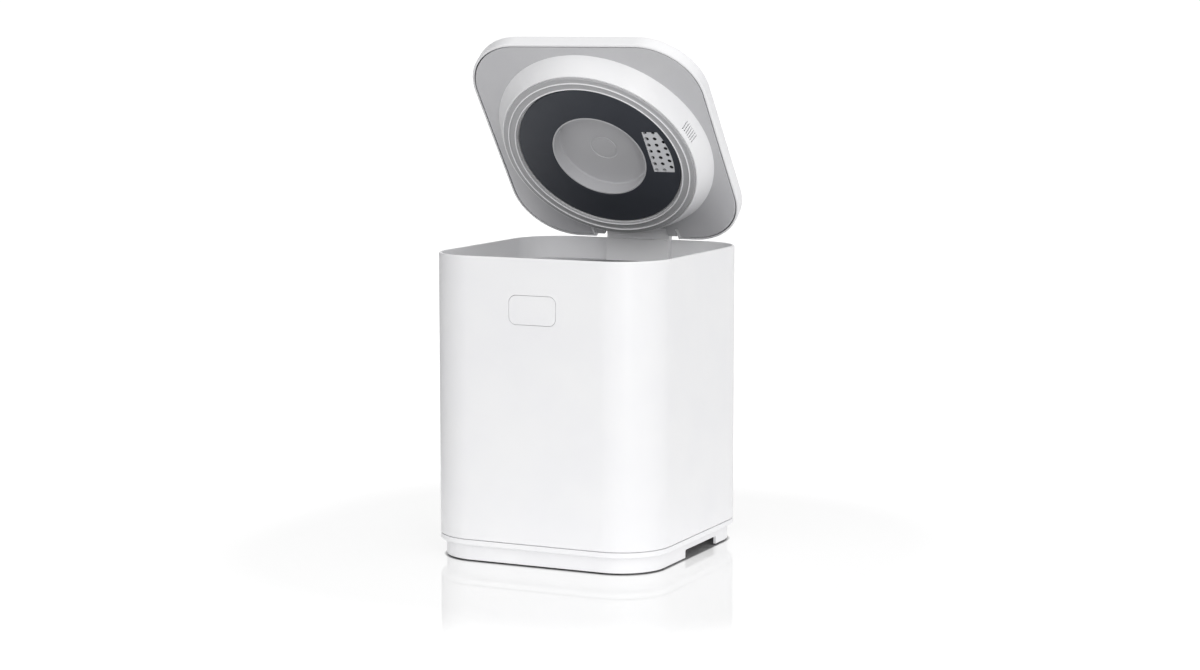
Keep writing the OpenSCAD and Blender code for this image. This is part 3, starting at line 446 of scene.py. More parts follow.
    def material(self) -> Material:
        """Build the slot's material once.

        Returns:
            The material of this slot.
        """
        if self.built is None:
            self.built = self.finish.material()
        return self.built


# Shapes


def outline(width: float, depth: float, radius: float, inset: float = 0.0, steps: int = 14) -> list[Point2]:
    """Draw a rounded rectangle about the origin.

    Args:
        width: Size along X before the inset.
        depth: Size along Y before the inset.
        radius: Corner radius before the inset.
        inset: How far the outline is drawn in.
        steps: Segments in each corner.

    Returns:
        Points counter-clockwise, the same number whatever the inset.
    """
    r = max(radius - inset, 1.0)
    cx, cy = width / 2 - inset - r, depth / 2 - inset - r
    points: list[Point2] = []
    for start, sx, sy in ((0, 1, 1), (90, -1, 1), (180, -1, -1), (270, 1, -1)):
        for i in range(steps + 1):
            a = math.radians(start + 90 * i / steps)
            points.append((sx * cx + r * math.cos(a), sy * cy + r * math.sin(a)))
    return points


def soften(points: Sequence[Corner], closed: bool = True, steps: int = 4) -> list[Point2]:
    """Round the corners of a profile.

    Args:
        points: Corners as (u, v, radius).
        closed: Whether the last corner joins the first.
        steps: Segments in each rounding.

    Returns:
        The profile with arcs in place of its corners.
    """
    out: list[Point2] = []
    count = len(points)
    for i, (u, v, radius) in enumerate(points):
        here = Vector((u, v))
        if radius <= 0 or (not closed and i in (0, count - 1)):
            out.append((u, v))
            continue
        back = Vector(points[i - 1][:2]) - here
        ahead = Vector(points[(i + 1) % count][:2]) - here
        half = back.angle(ahead) / 2
        run = min(radius / math.tan(half), back.length * 0.49, ahead.length * 0.49)
        to_middle = (back.normalized() + ahead.normalized()).normalized()
        middle = here + to_middle * (run * math.tan(half) / math.sin(half))
        first = here + back.normalized() * run - middle
        last = here + ahead.normalized() * run - middle
        turn = first.angle_signed(last)
        for k in range(steps + 1):
            p = middle + Matrix.Rotation(-turn * k / steps, 2) @ first
            out.append((p.x, p.y))
    return out


@dataclass
class Form:
    """A mesh under construction, in millimetres."""

    verts: list[Point3] = field(default_factory=list)
    faces: list[list[int]] = field(default_factory=list)

    def add_rings(self, rings: Sequence[Ring], loop: bool = False) -> "Form":
        """Join rings of equal length into a skin.

        Args:
            rings: Rings of points, one after another.
            loop: Whether the last ring joins the first; if not, a face closes each end.

        Returns:
            This form.
        """
        base, size = len(self.verts), len(rings[0])
        for ring in rings:
            self.verts.extend(ring)
        for i in range(len(rings) if loop else len(rings) - 1):
            a, b = base + i * size, base + (i + 1) % len(rings) * size
            for k in range(size):
                n = (k + 1) % size
                self.faces.append([a + k, a + n, b + n, b + k])
        if not loop:
            self.faces.append([base + k for k in reversed(range(size))])
            last = base + (len(rings) - 1) * size
            self.faces.append([last + k for k in range(size)])
        return self

    def spin(
        self, profile: Sequence[Point2], steps: int, loop: bool = True, centre: Point2 = (0, 0)
    ) -> "Form":
        """Turn an (r, z) profile about a vertical axis.

        Args:
            profile: Points of the profile.
            steps: Segments round the axis.
            loop: Whether the profile closes on itself.
            centre: Where the axis stands.

        Returns:
            This form.
        """
        x, y = centre
        turn = [2 * math.pi * k / steps for k in range(steps)]
        rings = [[(x + r * math.cos(a), y + r * math.sin(a), z) for a in turn] for r, z in profile]
        return self.add_rings(rings, loop)

    def rod(self, radius: float, lo: float, hi: float, steps: int, centre: Point2 = (0, 0)) -> "Form":
        """Add an upright cylinder from lo to hi."""
        return self.spin([(radius, lo), (radius, hi)], steps, False, centre)

    def sweep(self, profile: Sequence[Point2], plan: Plan, loop: bool = True, steps: int = 14) -> "Form":
        """Carry an (inset, z) profile round a rounded rectangle.

        Args:
            profile: Points of the profile, as inset from the plan and height.
            plan: Width, depth and corner radius of the plan.
            loop: Whether the profile closes on itself.
            steps: Segments in each corner of the plan.

        Returns:
            This form.
        """
        rings = [[(x, y, z) for x, y in outline(*plan, inset=u, steps=steps)] for u, z in profile]
        return self.add_rings(rings, loop)

    def prism(self, section: Sequence[Point2], lo: float, hi: float) -> "Form":
        """Extrude a (y, z) section along X from lo to hi."""
        return self.add_rings([[(x, y, z) for y, z in section] for x in (lo, hi)])

    def slab(self, plan: Sequence[Point2], lo: float, hi: float) -> "Form":
        """Extrude an (x, y) plan upwards from lo to hi."""
        return self.add_rings([[(x, y, z) for x, y in plan] for z in (lo, hi)])

    def block(self, lo: Point3, hi: Point3) -> "Form":
        """Add a box between two corners."""
        return self.slab([(lo[0], lo[1]), (hi[0], lo[1]), (hi[0], hi[1]), (lo[0], hi[1])], lo[2], hi[2])

    def moved(self, matrix: Matrix) -> "Form":
        """Carry every point through a matrix given in millimetres."""
        self.verts = [tuple(matrix @ Vector(p)) for p in self.verts]
        return self

    def object(self, name: str) -> Object:
        """Write the form to a Blender object in metres.

        Args:
            name: Name of the object.

        Returns:
            The object, with its faces turned outwards.
        """
        mesh = bpy.data.meshes.new(name)
        mesh.from_pydata([[c * MM for c in p] for p in self.verts], [], self.faces)
        work = bmesh.new()
        work.from_mesh(mesh)
        bmesh.ops.recalc_face_normals(work, faces=work.faces)
        work.to_mesh(mesh)
        work.free()
        piece = bpy.data.objects.new(name, mesh)
        bpy.context.scene.collection.objects.link(piece)
        return piece


class Cut(Enum):
    """How one form acts on another."""

    TAKE = "DIFFERENCE"
    JOIN = "UNION"


def combine(piece: Object, tools: Sequence[Form], how: Cut = Cut.TAKE) -> None:
    """Cut forms from a piece, or join them to it, one after another.

    Args:
        piece: The object that is changed.
        tools: Forms to cut away or to join.
        how: Whether they are taken or joined.
    """
    for form in tools:
        tool = form.object(piece.name + "_tool")
        step = piece.modifiers.new("combine", "BOOLEAN")
        step.operation = how.value
        step.solver = "EXACT"
        step.object = tool
        bpy.context.view_layer.update()
        shaped = piece.evaluated_get(bpy.context.evaluated_depsgraph_get())
        result = bpy.data.meshes.new_from_object(shaped)
        piece.modifiers.clear()
        spent = [piece.data, tool.data]
        piece.data = result
        bpy.data.objects.remove(tool)
        for mesh in spent:
            bpy.data.meshes.remove(mesh)


@dataclass
class Assembly:
    """A group of pieces that share a body of the mechanism."""

    body: str = "casing"

    def finish(
        self, piece: Object, slot: Slot, node: str, edge_mm: float = 0.0, place: Matrix | None = None
    ) -> None:
        """Dress a piece, shade it and set it on its body.

        Args:
            piece: The object.
            slot: Its material slot.
            node: CAD node that it stands for.
            edge_mm: Width of a small bevel on its edges, or 0 for none.
            place: Matrix in metres that carries the mesh to its place.
        """
        if place is not None:
            piece.data.transform(place)
        piece.data.materials.clear()
        piece.data.materials.append(slot.material())
        if edge_mm > 0:
            bevel = piece.modifiers.new("edges", "BEVEL")
            bevel.width = edge_mm * MM
            bevel.segments = 2
            bevel.limit_method = "ANGLE"
            bevel.angle_limit = math.radians(BEVEL_DEG)
        piece.data.shade_smooth()
        piece.data.set_sharp_from_angle(angle=math.radians(CRISP_DEG))
        shade = piece.modifiers.new("shading", "WEIGHTED_NORMAL")
        shade.keep_sharp = True
        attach(piece, self.body)
        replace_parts(piece, node)
        log.info("%s stands for %s", piece.name, node)


@dataclass
class Casing(Assembly):
    """The square rounded casing, its plinth, its feet and the deck inside.

    A window in the skin is given by its lower left and upper right corners, as (x, z). A
    cutting form runs a few millimetres past the faces that it opens, here and in the lid.
    """

    width: float = 270.0
    depth: float = 280.0
    rim: float = 333.5
    radius: float = 57.0
    wall: float = 3.0
    corner_steps: int = 20
    seam: float = 25.5
    band: float = 6.5
    groove: float = 0.8
    groove_depth: float = 2.4
    tongue: float = 6.0
    clearance: float = 0.3
    button_window: Plan = (55.9, 31.9, 8.45)
    button_z: float = 278.0
    inlet_window: tuple[Point2, Point2] = ((-75.6, 37.9), (-44.4, 62.1))
    exhaust_window: tuple[Point2, Point2] = ((19.9, 33.9), (76.1, 90.1))
    plinth_inset: float = 6.5
    floor: float = 13.0
    floor_top: float = 16.0
    notch_length: float = 86.0
    notch_middle: float = 17.0
    notch_top: float = 10.5
    foot_at: Point2 = (96.5, 100.5)
    foot_radius: float = 11.0
    foot_top: float = 4.0
    foot_height: float = 1.5
    foot_dish: float = 0.35
    dish_radius: float = 7.0
    socket_wall: float = 2.0
    post_at: float = 98.0
    post_radius: float = 6.0
    post_bore: float = 1.6
    post_top: float = 96.0
    deck: float = 308.0
    deck_thickness: float = 3.0
    ledge_width: float = 5.0
    ledge_height: float = 4.0
    screw_at: Point2 = (28.0, 132.35)
    screw_radius: float = 1.8
    relief_radius: float = 4.0
    bucket_hole: float = 98.0
    slots_at: Point2 = (95.0, 97.0)
    slots_radius: float = 14.0
    slot_pitch: float = 8.0
    slot_width: float = 4.5
    slot_margin: float = 2.0

    @property
    def plan(self) -> Plan:
        """Width, depth and corner radius of the casing."""
        return (self.width, self.depth, self.radius)

    @property
    def feet_at(self) -> list[Point2]:
        """Middles of the four feet."""
        x, y = self.foot_at
        return [(-x, -y), (-x, y), (x, -y), (x, y)]

    def skin(self) -> None:
        """Make the tall white skin with its soft rim and its three windows."""
        wall, lip = self.wall, self.wall + self.ledge_width
        ledge = self.deck - self.deck_thickness
        profile = [(0, self.seam, 0.5), (0, self.rim, 1.4), (wall, self.rim, 0.9), (wall, ledge, 0)]
        profile += [(lip, ledge, 0.6), (lip, ledge - self.ledge_height, 0.6)]
        profile += [(wall, ledge - self.ledge_height, 0), (wall, self.seam, 0)]
        piece = Form().sweep(soften(profile), self.plan, steps=self.corner_steps).object("casing_skin")
        back = self.depth / 2
        stand = Matrix.Translation((0, -back, self.button_z)) @ Matrix.Rotation(-math.pi / 2, 4, "X")
        cuts = [Form().slab(outline(*self.button_window), -2.0, wall + 2).moved(stand)]
        for (left, low), (right, top) in (self.inlet_window, self.exhaust_window):
            cuts.append(Form().block((left, back - 8, low), (right, back + 5, top)))
        x, y = self.screw_at
        cuts += [Form().rod(self.relief_radius, ledge - 8, ledge, 32, (s * x, y)) for s in (-1, 1)]
        combine(piece, cuts)
        self.finish(piece, Slot.white_abs, "outer_shell")

    def plinth(self) -> None:
        """Make the drawn-in plinth with its notches, and the band above it."""
        low = self.foot_height
        inner, lip = self.plinth_inset + self.wall, self.wall + self.clearance
        band, seat = self.seam - self.band, self.seam - self.groove
        profile = [(inner, self.floor_top, 0), (inner, self.seam + self.tongue, 0.4)]
        profile += [(lip, self.seam + self.tongue, 0.4), (lip, self.seam, 0)]
        profile += [(self.groove_depth, self.seam, 0), (self.groove_depth, seat, 0), (0, seat, 0.5)]
        profile += [(0, band, 1.2), (self.plinth_inset, band, 1.0), (self.plinth_inset, low, 0.7)]
        profile += [(inner, low, 0.5), (inner, self.floor, 0)]
        form = Form().sweep(soften(profile, False), self.plan, False, self.corner_steps)
        piece = form.object("base_plinth_skin")
        side = self.width / 2 - self.plinth_inset
        front, rear = (self.notch_middle + s * self.notch_length / 2 for s in (-1, 1))
        top = self.notch_top
        section = soften([(front, -2, 0), (rear, -2, 0), (rear, top, 1.6), (front, top, 1.6)])
        combine(piece, [Form().prism(section, s * (side + 2), s * (side - self.wall - 0.5)) for s in (-1, 1)])
        self.finish(piece, Slot.white_abs, "base_plinth")

    def posts(self) -> None:
        """Make the feet's sockets and the posts that the well stands on, inside the base."""
        form = Form()
        r, low, top, lid = self.foot_radius, self.foot_height, self.foot_top, self.floor + 0.2
        out = r + self.socket_wall
        socket = soften([(r, top, 0), (r, low, 0.4), (out, low, 0.6), (out, lid, 0)], closed=False)
        for centre in self.feet_at:
            form.spin(socket + [(HUB, lid), (HUB, top)], 48, True, centre)
        bore, r, low, top = self.post_bore, self.post_radius, self.floor_top - 0.1, self.post_top
        post = soften([(bore, low + 4.1, 0), (bore, top, 0.3), (r, top, 0.6), (r, low, 0)])
        for turn in (45, 135, 225, 315):
            a = math.radians(turn)
            form.spin(post, 32, True, (self.post_at * math.cos(a), self.post_at * math.sin(a)))
        self.finish(form.object("plinth_posts"), Slot.white_abs, "base_plinth")

    def feet(self) -> None:
        """Make the four rubber feet with soft edges and a shallow dish below."""
        form = Form()
        r, top, dish, brim = self.foot_radius, self.foot_top, self.foot_dish, self.dish_radius
        profile = [(HUB, dish, 0), (brim, dish, 0.3), (brim + 0.6, 0, 0.3), (r, 0, 0.9), (r, top, 0.3)]
        profile.append((HUB, top, 0))
        for centre in self.feet_at:
            form.spin(soften(profile), 48, True, centre)
        self.finish(form.object("rubber_feet_pads"), Slot.black_rubber, "rubber_feet")

    def deck_plate(self) -> None:
        """Make the deck round the bucket with its air slots."""
        inset = self.wall + self.clearance
        plan = (self.width - 2 * inset, self.depth - 2 * inset, self.radius - inset)
        low = self.deck - self.deck_thickness
        lo, hi = low - 5, self.deck + 5
        profile = soften([(0, low, 0.3), (0, self.deck, 0.5)], closed=False)
        piece = Form().sweep(profile, plan, loop=False).object("deck_plate")
        cuts = [Form().rod(self.bucket_hole, lo, hi, 128)]
        x, y = self.slots_at
        for step in (-self.slot_pitch, 0.0, self.slot_pitch):
            run = math.sqrt(self.slots_radius**2 - step**2) - self.slot_margin
            left, right = x + step - self.slot_width / 2, x + step + self.slot_width / 2
            cuts.append(Form().block((left, y - run, lo), (right, y + run, hi)))
        x, y = self.screw_at
        cuts += [Form().rod(self.screw_radius, lo, hi, 24, (s * x, y)) for s in (-1, 1)]
        combine(piece, cuts)
        self.finish(piece, Slot.light_grey_abs, "top_deck", edge_mm=0.4)

    def build(self) -> None:
        """Build every piece of the casing."""
        for make in (self.skin, self.plinth, self.posts, self.feet, self.deck_plate):
            make()


@dataclass
class HingeBlock(Assembly):
    """The block on the deck that carries the lid's pins."""

    width: float = 78.0
    axis_y: float = 135.5
    axis_z: float = 346.0
    radius: float = 4.5
    front: float = 128.0
    back: float = 136.7
    deck: float = 308.0
    rim: float = 333.5
    pin_radius: float = 2.05
    pin_depth: float = 11.5

    def build(self) -> None:
        """Build the block with its round top and its two pin holes."""
        y, z, r, above = self.axis_y, self.axis_z, self.radius, self.rim + 0.2
        arc = [math.pi * k / 12 for k in range(13)]
        section = [(self.front, self.deck, 0.3), (self.back, self.deck, 0.3)]
        section += [(self.back, above, 0.2), (y + r, above, 0.5)]
        section += [(y + r * math.cos(a), z + r * math.sin(a), 0.0) for a in arc]
        section += [(y - r, self.rim, 1.2), (self.front, self.rim, 1.0)]
        half = self.width / 2
        piece = Form().prism(soften(section), -half, half).object("hinge_block_body")
        turn = Matrix.Translation((0, y, z)) @ Matrix.Rotation(math.pi / 2, 4, "Y")
        for s in (-1, 1):
            bore = Form().rod(self.pin_radius, s * (half + 1), s * (half - self.pin_depth), 32)
            combine(piece, [bore.moved(turn)])
        self.finish(piece, Slot.white_abs, "hinge_block", edge_mm=0.35)


@dataclass
class Button(Assembly):
    """The one start button, flush in its window, with its flange and its plunger behind."""

    body: str = "button"
    width: float = 55.0
    height: float = 31.0
    radius: float = 8.0
    face_y: float = -140.0
    middle_z: float = 278.0
    flange: float = 2.5
    flange_front: float = -3.3
    flange_back: float = -5.1
    flange_run: float = 26.0
    plunger_radius: float = 3.0
    plunger_end: float = -8.6
    plunger_hub: float = 0.3

    def build(self) -> None:
        """Build the cap, its retaining flange and its plunger."""
        edge, front, back = self.flange, self.flange_front, self.flange_back
        plan = (self.width + 2 * edge, self.height + 2 * edge, self.radius + edge)
        cap = [(edge, 0, 0.45), (edge, front, 0), (0, front, 0.3), (0, back, 0.3)]
        cap.append((self.flange_run, back, 0))
        form = Form().sweep(soften(cap, closed=False), plan, loop=False, steps=10)
        hub, r, end, root = self.plunger_hub, self.plunger_radius, self.plunger_end, back + 0.1
        form.spin(soften([(hub, root, 0), (r, root, 0), (r, end, 0.4), (hub, end, 0)]), 24)
        stand = Matrix.Translation((0, self.face_y, self.middle_z)) @ Matrix.Rotation(math.pi / 2, 4, "X")
        self.finish(form.moved(stand).object("start_button_cap"), Slot.white_abs, "start_button")


@dataclass
class Bucket(Assembly):
    """The removable waste bucket with its rolled flange."""

    radius: float = 93.0
    wall: float = 2.0
    floor: float = 140.0
    bore: float = 8.0
    flange_z: float = 308.0
    flange_radius: float = 112.0

    def build(self) -> None:
        """Build the bucket in one turned form."""
        low, high, outer, brim = self.floor, self.flange_z, self.radius + self.wall, self.flange_radius
        profile = [(self.bore, low, 0), (outer, low, 5.0), (outer, high, 1.2), (brim, high, 0.8)]
        profile += [(brim, high + self.wall, 0.8), (self.radius, high + self.wall, 2.4)]
        profile += [(self.radius, low + self.wall, 4.0), (self.bore, low + self.wall, 0)]
        form = Form().spin(soften(profile, steps=6), 128)
        self.finish(form.object("bucket_body"), Slot.coated_aluminium, "bucket")


@dataclass
class Lid(Assembly):
    """The lid: cover, liner, drum with its gasket, and the filter cap with its grip."""

    body: str = "lid"
    width: float = 280.0
    depth: float = 282.0
    radius: float = 68.0
    corner_steps: int = 20
    low: float = 334.3
    edge: float = 2.0
    band_top: float = 347.0
    crown: float = 8.0
    crown_run: float = 34.0
    crown_steps: int = 12
    # Power that squares the crown's quarter round off: higher is squarer.
    crown_power: float = 3.3
    wall: float = 2.6
    open_deg: float = 52.0
    clearance: float = 0.3
    hinge_y: float = 135.5
    hinge_z: float = 346.0
    hinge_radius: float = 4.5
    knuckle_in: float = 39.8
    knuckle_width: float = 11.0
    knuckle_run: float = 4.7
    notch_front: float = 127.5
    bracket_wall: float = 2.2
    bracket_side: float = 3.0
    relief_half: float = 5.8
    relief_depth: float = 5.0
    relief_height: float = 2.8
    # How far back, down and up a cut through the lid reaches.
    cut_back: float = 200.0
    cut_low: float = 300.0
    cut_high: float = 400.0
    liner_gap: float = 1.3
    liner_thickness: float = 2.5
    liner_hole: float = 112.0
    drum_base: float = 127.0
    drum_end: float = 114.4
    drum_low: float = 313.3
    drum_wall: float = 2.5
    round_steps: int = 160
    slits: int = 7
    slit_first_deg: float = -20.5
    slit_pitch_deg: float = 1.6
    slit_lean_deg: float = 16.0
    slit_rise: float = 8.2
    slit_half: Point2 = (0.7, 4.5)
    holder: float = 96.4
    holder_wall: float = 2.0
    ledge_width: float = 4.0
    ledge_height: float = 2.0
    gasket_end: float = 112.2
    gasket_thickness: float = 1.5
    gasket_groove: float = 0.9
    gasket_groove_depth: float = 1.5
    ridges: Point2 = (97.9, 105.7)
    ridge_width: float = 1.1
    ridge_flare: float = 0.4
    ridge_tip: float = 310.3
    cap_radius: float = 95.0
    cap_thickness: float = 3.0
    grip_radius: float = 55.5
    grip_depth: float = 17.0
    grip_wall: float = 2.0
    grip_flange: float = 4.0
    grip_play: float = 0.1
    ring_in: float = 13.6
    ring_out: float = 16.4
    ring_depth: float = 0.8
    grille_in: float = 61.4
    grille_out: float = 88.5
    grille_front: float = -37.5
    grille_rear: float = 20.0
    grille_corner: float = 0.8
    grille_steps: int = 16
    grille_play: float = 0.1
    grille_face: float = 0.4
    grille_flange: float = 1.5
    grille_margin: float = 2.0
    grille_recess: float = 1.0
    hole_radius: float = 2.3
    hole_grid: tuple[int, int] = (3, 7)
    hole_pitch: Point2 = (9.4, 8.95)
    hole_first: Point2 = (3.8, 1.0)

    @property
    def opened(self) -> Matrix:
        """Matrix in metres that swings a closed mesh to the raised lid."""
        pivot = Matrix.Translation((0, self.hinge_y * MM, self.hinge_z * MM))
        return pivot @ Matrix.Rotation(-math.radians(self.open_deg), 4, "X") @ pivot.inverted()

    @property
    def notch_half(self) -> float:
        """Half the width of the notch that clears the hinge block."""
        return self.knuckle_in + self.knuckle_width + 1

    @property
    def bracket(self) -> float:
        """Where the cover's inner wall stands in front of the notch."""
        return self.notch_front - self.bracket_wall

    def dress(self, piece: Object, slot: Slot, node: str, edge_mm: float = 0.0) -> None:
        """Finish a piece drawn shut and swing it open with the lid."""
        self.finish(piece, slot, node, edge_mm, self.opened)

    def shell_form(self, shrink: float) -> Form:
        """Draw the lid's whole form, a soft-edged band under a low crown.

        Args:
            shrink: How far the form is drawn in on every side.

        Returns:
            A closed form.
        """
        rings: list[Point2] = [(shrink, self.low - 0.5)]
        if not shrink:
            turn = [math.pi / 2 * k / 6 for k in range(7)]
            rings = [(self.edge * (1 - math.sin(a)), self.low + self.edge * (1 - math.cos(a))) for a in turn]
        rings.append((shrink, self.band_top))
        for k in range(1, self.crown_steps + 1):
            a = math.pi / 2 * k / self.crown_steps
            run = self.crown_run * math.cos(a) ** (2 / self.crown_power)
            rise = (self.crown - shrink) * math.sin(a)
            rings.append((self.crown_run - run + shrink, self.band_top + rise))
        return Form().sweep(rings, (self.width, self.depth, self.radius), False, self.corner_steps)

    def cover(self) -> None:
        """Build the hollow white cover with the notch at its back."""
        piece = self.shell_form(0).object("lid_cover_shell")
        hollow = self.shell_form(self.wall).object("hollow")
        half, front, bottom = self.notch_half, self.notch_front, self.cut_low
        far, wide = (self.cut_back, self.cut_high), self.notch_half + self.bracket_side
        combine(hollow, [Form().block((-wide, self.bracket, bottom), (wide, *far))])
        inside = Form([tuple(c / MM for c in v.co) for v in hollow.data.vertices])
        inside.faces = [list(p.vertices) for p in hollow.data.polygons]
        bpy.data.objects.remove(hollow)
        cuts = [inside, Form().block((-half, front, bottom), (half, *far))]
        side, deep = self.relief_half, self.relief_depth
        low, top = self.low - 3, self.low + self.relief_height
        for s in (-1, 1):
            x = s * (self.knuckle_in + self.knuckle_width / 2)
            cuts.append(Form().block((x - side, front - deep, low), (x + side, front + deep, top)))
        combine(piece, cuts)
        self.dress(piece, Slot.white_abs, "lid_cover")

    def liner(self) -> None:
        """Build the grey liner plate with its two hinge knuckles."""
        inset, low, top = self.wall + self.liner_gap, self.low, self.low + self.liner_thickness
        plan = (self.width - 2 * inset, self.depth - 2 * inset, self.radius - inset)
        profile = [(0.8, low), (0.25, low + 0.25), (0, low + 0.8), (0, top)]
        piece = Form().sweep(profile, plan, False, self.corner_steps).object("lid_liner_plate")
        rear, half = self.bracket - self.clearance, self.notch_half + self.bracket_side + self.clearance
        hole = Form().rod(self.liner_hole, low - 5, low + 9, 128)
        combine(piece, [hole, Form().block((-half, rear, low - 5), (half, self.cut_back, low + 9))])
        y, z, r = self.hinge_y, self.hinge_z, self.hinge_radius
        section = [(rear - self.knuckle_run, low, 0.3), (y + 1, low, 1.0)]
        for turn in range(-75, 181, 15):
            a = math.radians(turn)
            section.append((y + r * math.cos(a), z + r * math.sin(a), 0.0))
        front = self.notch_front + self.clearance
        section += [(front, z, 0.6), (front, top, 0.6), (rear - self.knuckle_run, top, 0.3)]
        near, far = self.knuckle_in, self.knuckle_in + self.knuckle_width
        knuckles = [Form().prism(soften(section), lo, hi) for lo, hi in ((-far, -near), (near, far))]
        combine(piece, knuckles, Cut.JOIN)
        self.dress(piece, Slot.light_grey_abs, "lid_liner", edge_mm=0.3)

    def drum(self) -> None:
        """Build the conical drum wall with its air slits and the ring that holds the cap."""
        z, wall, holder, seat = self.drum_low, self.drum_wall, self.holder, self.gasket_end
        back, ledge = holder + self.holder_wall, self.cap_radius - self.ledge_width
        cap, deep = z + self.cap_thickness, z + self.grip_depth
        shelf, groove, root = cap + self.ledge_height, seat + self.gasket_groove, z + self.gasket_groove_depth
        profile = [(self.drum_base, self.low, 0), (self.drum_base - wall, self.low, 0)]
        profile += [(self.drum_end - wall, z + wall, 0.5), (back, z + wall, 0)]
        profile += [(back, deep, 0.3), (holder, deep, 0.3), (holder, shelf, 0), (ledge, shelf, 0.3)]
        profile += [(ledge, cap, 0.3), (holder, cap, 0), (holder, z, 0.3), (seat, z, 0), (seat, root, 0)]
        profile += [(groove, root, 0), (groove, z, 0.2), (self.drum_end, z, 1.0)]
        piece = Form().spin(soften(profile, steps=6), self.round_steps).object("filter_drum_wall")
        middle = Matrix.Translation(((self.drum_base + self.drum_end) / 2, 0, z + self.slit_rise))
        lean = Matrix.Rotation(math.radians(self.slit_lean_deg), 4, "X")
        across, along = self.slit_half
        for i in range(self.slits):
            turn = math.radians(self.slit_first_deg + i * self.slit_pitch_deg)
            slit = Form().block((-12, -across, -along), (12, across, along))
            combine(piece, [slit.moved(Matrix.Rotation(turn, 4, "Z") @ middle @ lean)])
        self.dress(piece, Slot.white_abs, "filter_drum")

    def gasket(self) -> None:
        """Build the grey gasket with its two soft ridges."""
        z, low = self.drum_low, self.drum_low - self.gasket_thickness
        tip, flare = self.ridge_tip, self.ridge_flare
        inner, outer = self.holder + self.clearance, self.gasket_end
        points = [(inner, z, 0), (inner, low, 0.5)]
        for r in self.ridges:
            end = r + self.ridge_width
            points += [(r - flare, low, 0.4), (r, tip, 0.4), (end, tip, 0.4), (end + flare, low, 0.4)]
        points += [(outer, low, 0.6), (outer, z, 0)]
        form = Form().spin(soften(points), self.round_steps)
        self.dress(form.object("drum_gasket_ring"), Slot.grey_silicone, "lid_gasket")

    def window(self, grow: float, lo: float, hi: float) -> Form:
        """Draw the plate of the grille's window, straight inside and round outside.

        Args:
            grow: How far it is grown past the window.
            lo: Lower face.
            hi: Upper face.

        Returns:
            A closed form.
        """
        left, r = self.grille_in - grow, self.grille_out + grow
        front, rear = self.grille_front - grow, self.grille_rear + grow
        first, last = math.asin(front / r), math.asin(rear / r)
        corner, steps = self.grille_corner, self.grille_steps
        plan: list[Corner] = [(left, front, corner)]
        for k in range(steps + 1):
            t = first + (last - first) * k / steps
            plan.append((r * math.cos(t), r * math.sin(t), corner if k in (0, steps) else 0.0))
        plan.append((left, rear, corner))
        return Form().slab(soften(plan, steps=3), lo, hi)

    def cap(self) -> None:
        """Build the charcoal cap with its soft rim and the grille's window."""
        z, top = self.drum_low, self.drum_low + self.cap_thickness
        inner, outer = self.grip_radius, self.cap_radius
        profile = soften([(inner, z, 0.7), (inner, top, 0), (outer, top, 0), (outer, z, 1.0)])
        piece = Form().spin(profile, self.round_steps).object("filter_cap_disc")
        combine(piece, [self.window(0, z - 3, z + 6)])
        self.dress(piece, Slot.charcoal_abs, "filter_cap")

    def inlet(self) -> None:
        """Build the pale grille with its three columns of round holes."""
        z, top = self.drum_low, self.drum_low + self.cap_thickness
        plate = self.window(-self.grille_play, z + self.grille_face, top + 0.01)
        piece = plate.object("inlet_grille_plate")
        combine(piece, [self.window(self.grille_flange, top, top + 1)], Cut.JOIN)
        combine(piece, [self.window(-self.grille_margin, z + self.grille_recess, z + 12)])
        holes = Form()
        columns, rows = self.hole_grid
        for column in range(columns):
            x = self.grille_in + self.hole_first[0] + column * self.hole_pitch[0]
            # The last column stands half a pitch further back.
            shift = 0.5 if column == columns - 1 else 0.0
            for row in range(rows):
                y = self.grille_front + self.hole_first[1] + (row + shift) * self.hole_pitch[1]
                if y < self.grille_rear:
                    holes.rod(self.hole_radius, z - 2, z + 4.5, 24, (x, y))
        combine(piece, [holes])
        self.dress(piece, Slot.light_grey_grille, "inlet_grille")

    def cup(self) -> None:
        """Build the hollow grip with the shallow ring in its floor."""
        z, under = self.drum_low, self.drum_low + self.grip_depth
        r, wall = self.grip_radius, self.grip_wall
        side, flange, groove = r - self.grip_play, r + self.grip_flange, under + self.ring_depth
        seat, back, face = z + self.cap_thickness, z + self.cap_thickness + wall, z + self.clearance
        points = [(HUB, under + wall, 0), (side, under + wall, 1.5), (side, back, 0), (flange, back, 0.4)]
        points += [(flange, seat, 0.4), (side, seat, 0), (side, face, 0.6), (r - wall, face, 0.6)]
        points += [(r - wall, under, 1.6), (self.ring_out, under, 0.3), (self.ring_out, groove, 0.3)]
        points += [(self.ring_in, groove, 0.3), (self.ring_in, under, 0.3), (HUB, under, 0)]
        form = Form().spin(soften(points, steps=3), 128)
        self.dress(form.object("grip_cup_bowl"), Slot.light_grey_abs, "grip_cup")

    def build(self) -> None:
        """Build every piece of the lid that shows."""
        for make in (self.cover, self.liner, self.drum, self.gasket, self.cap, self.inlet, self.cup):
            make()


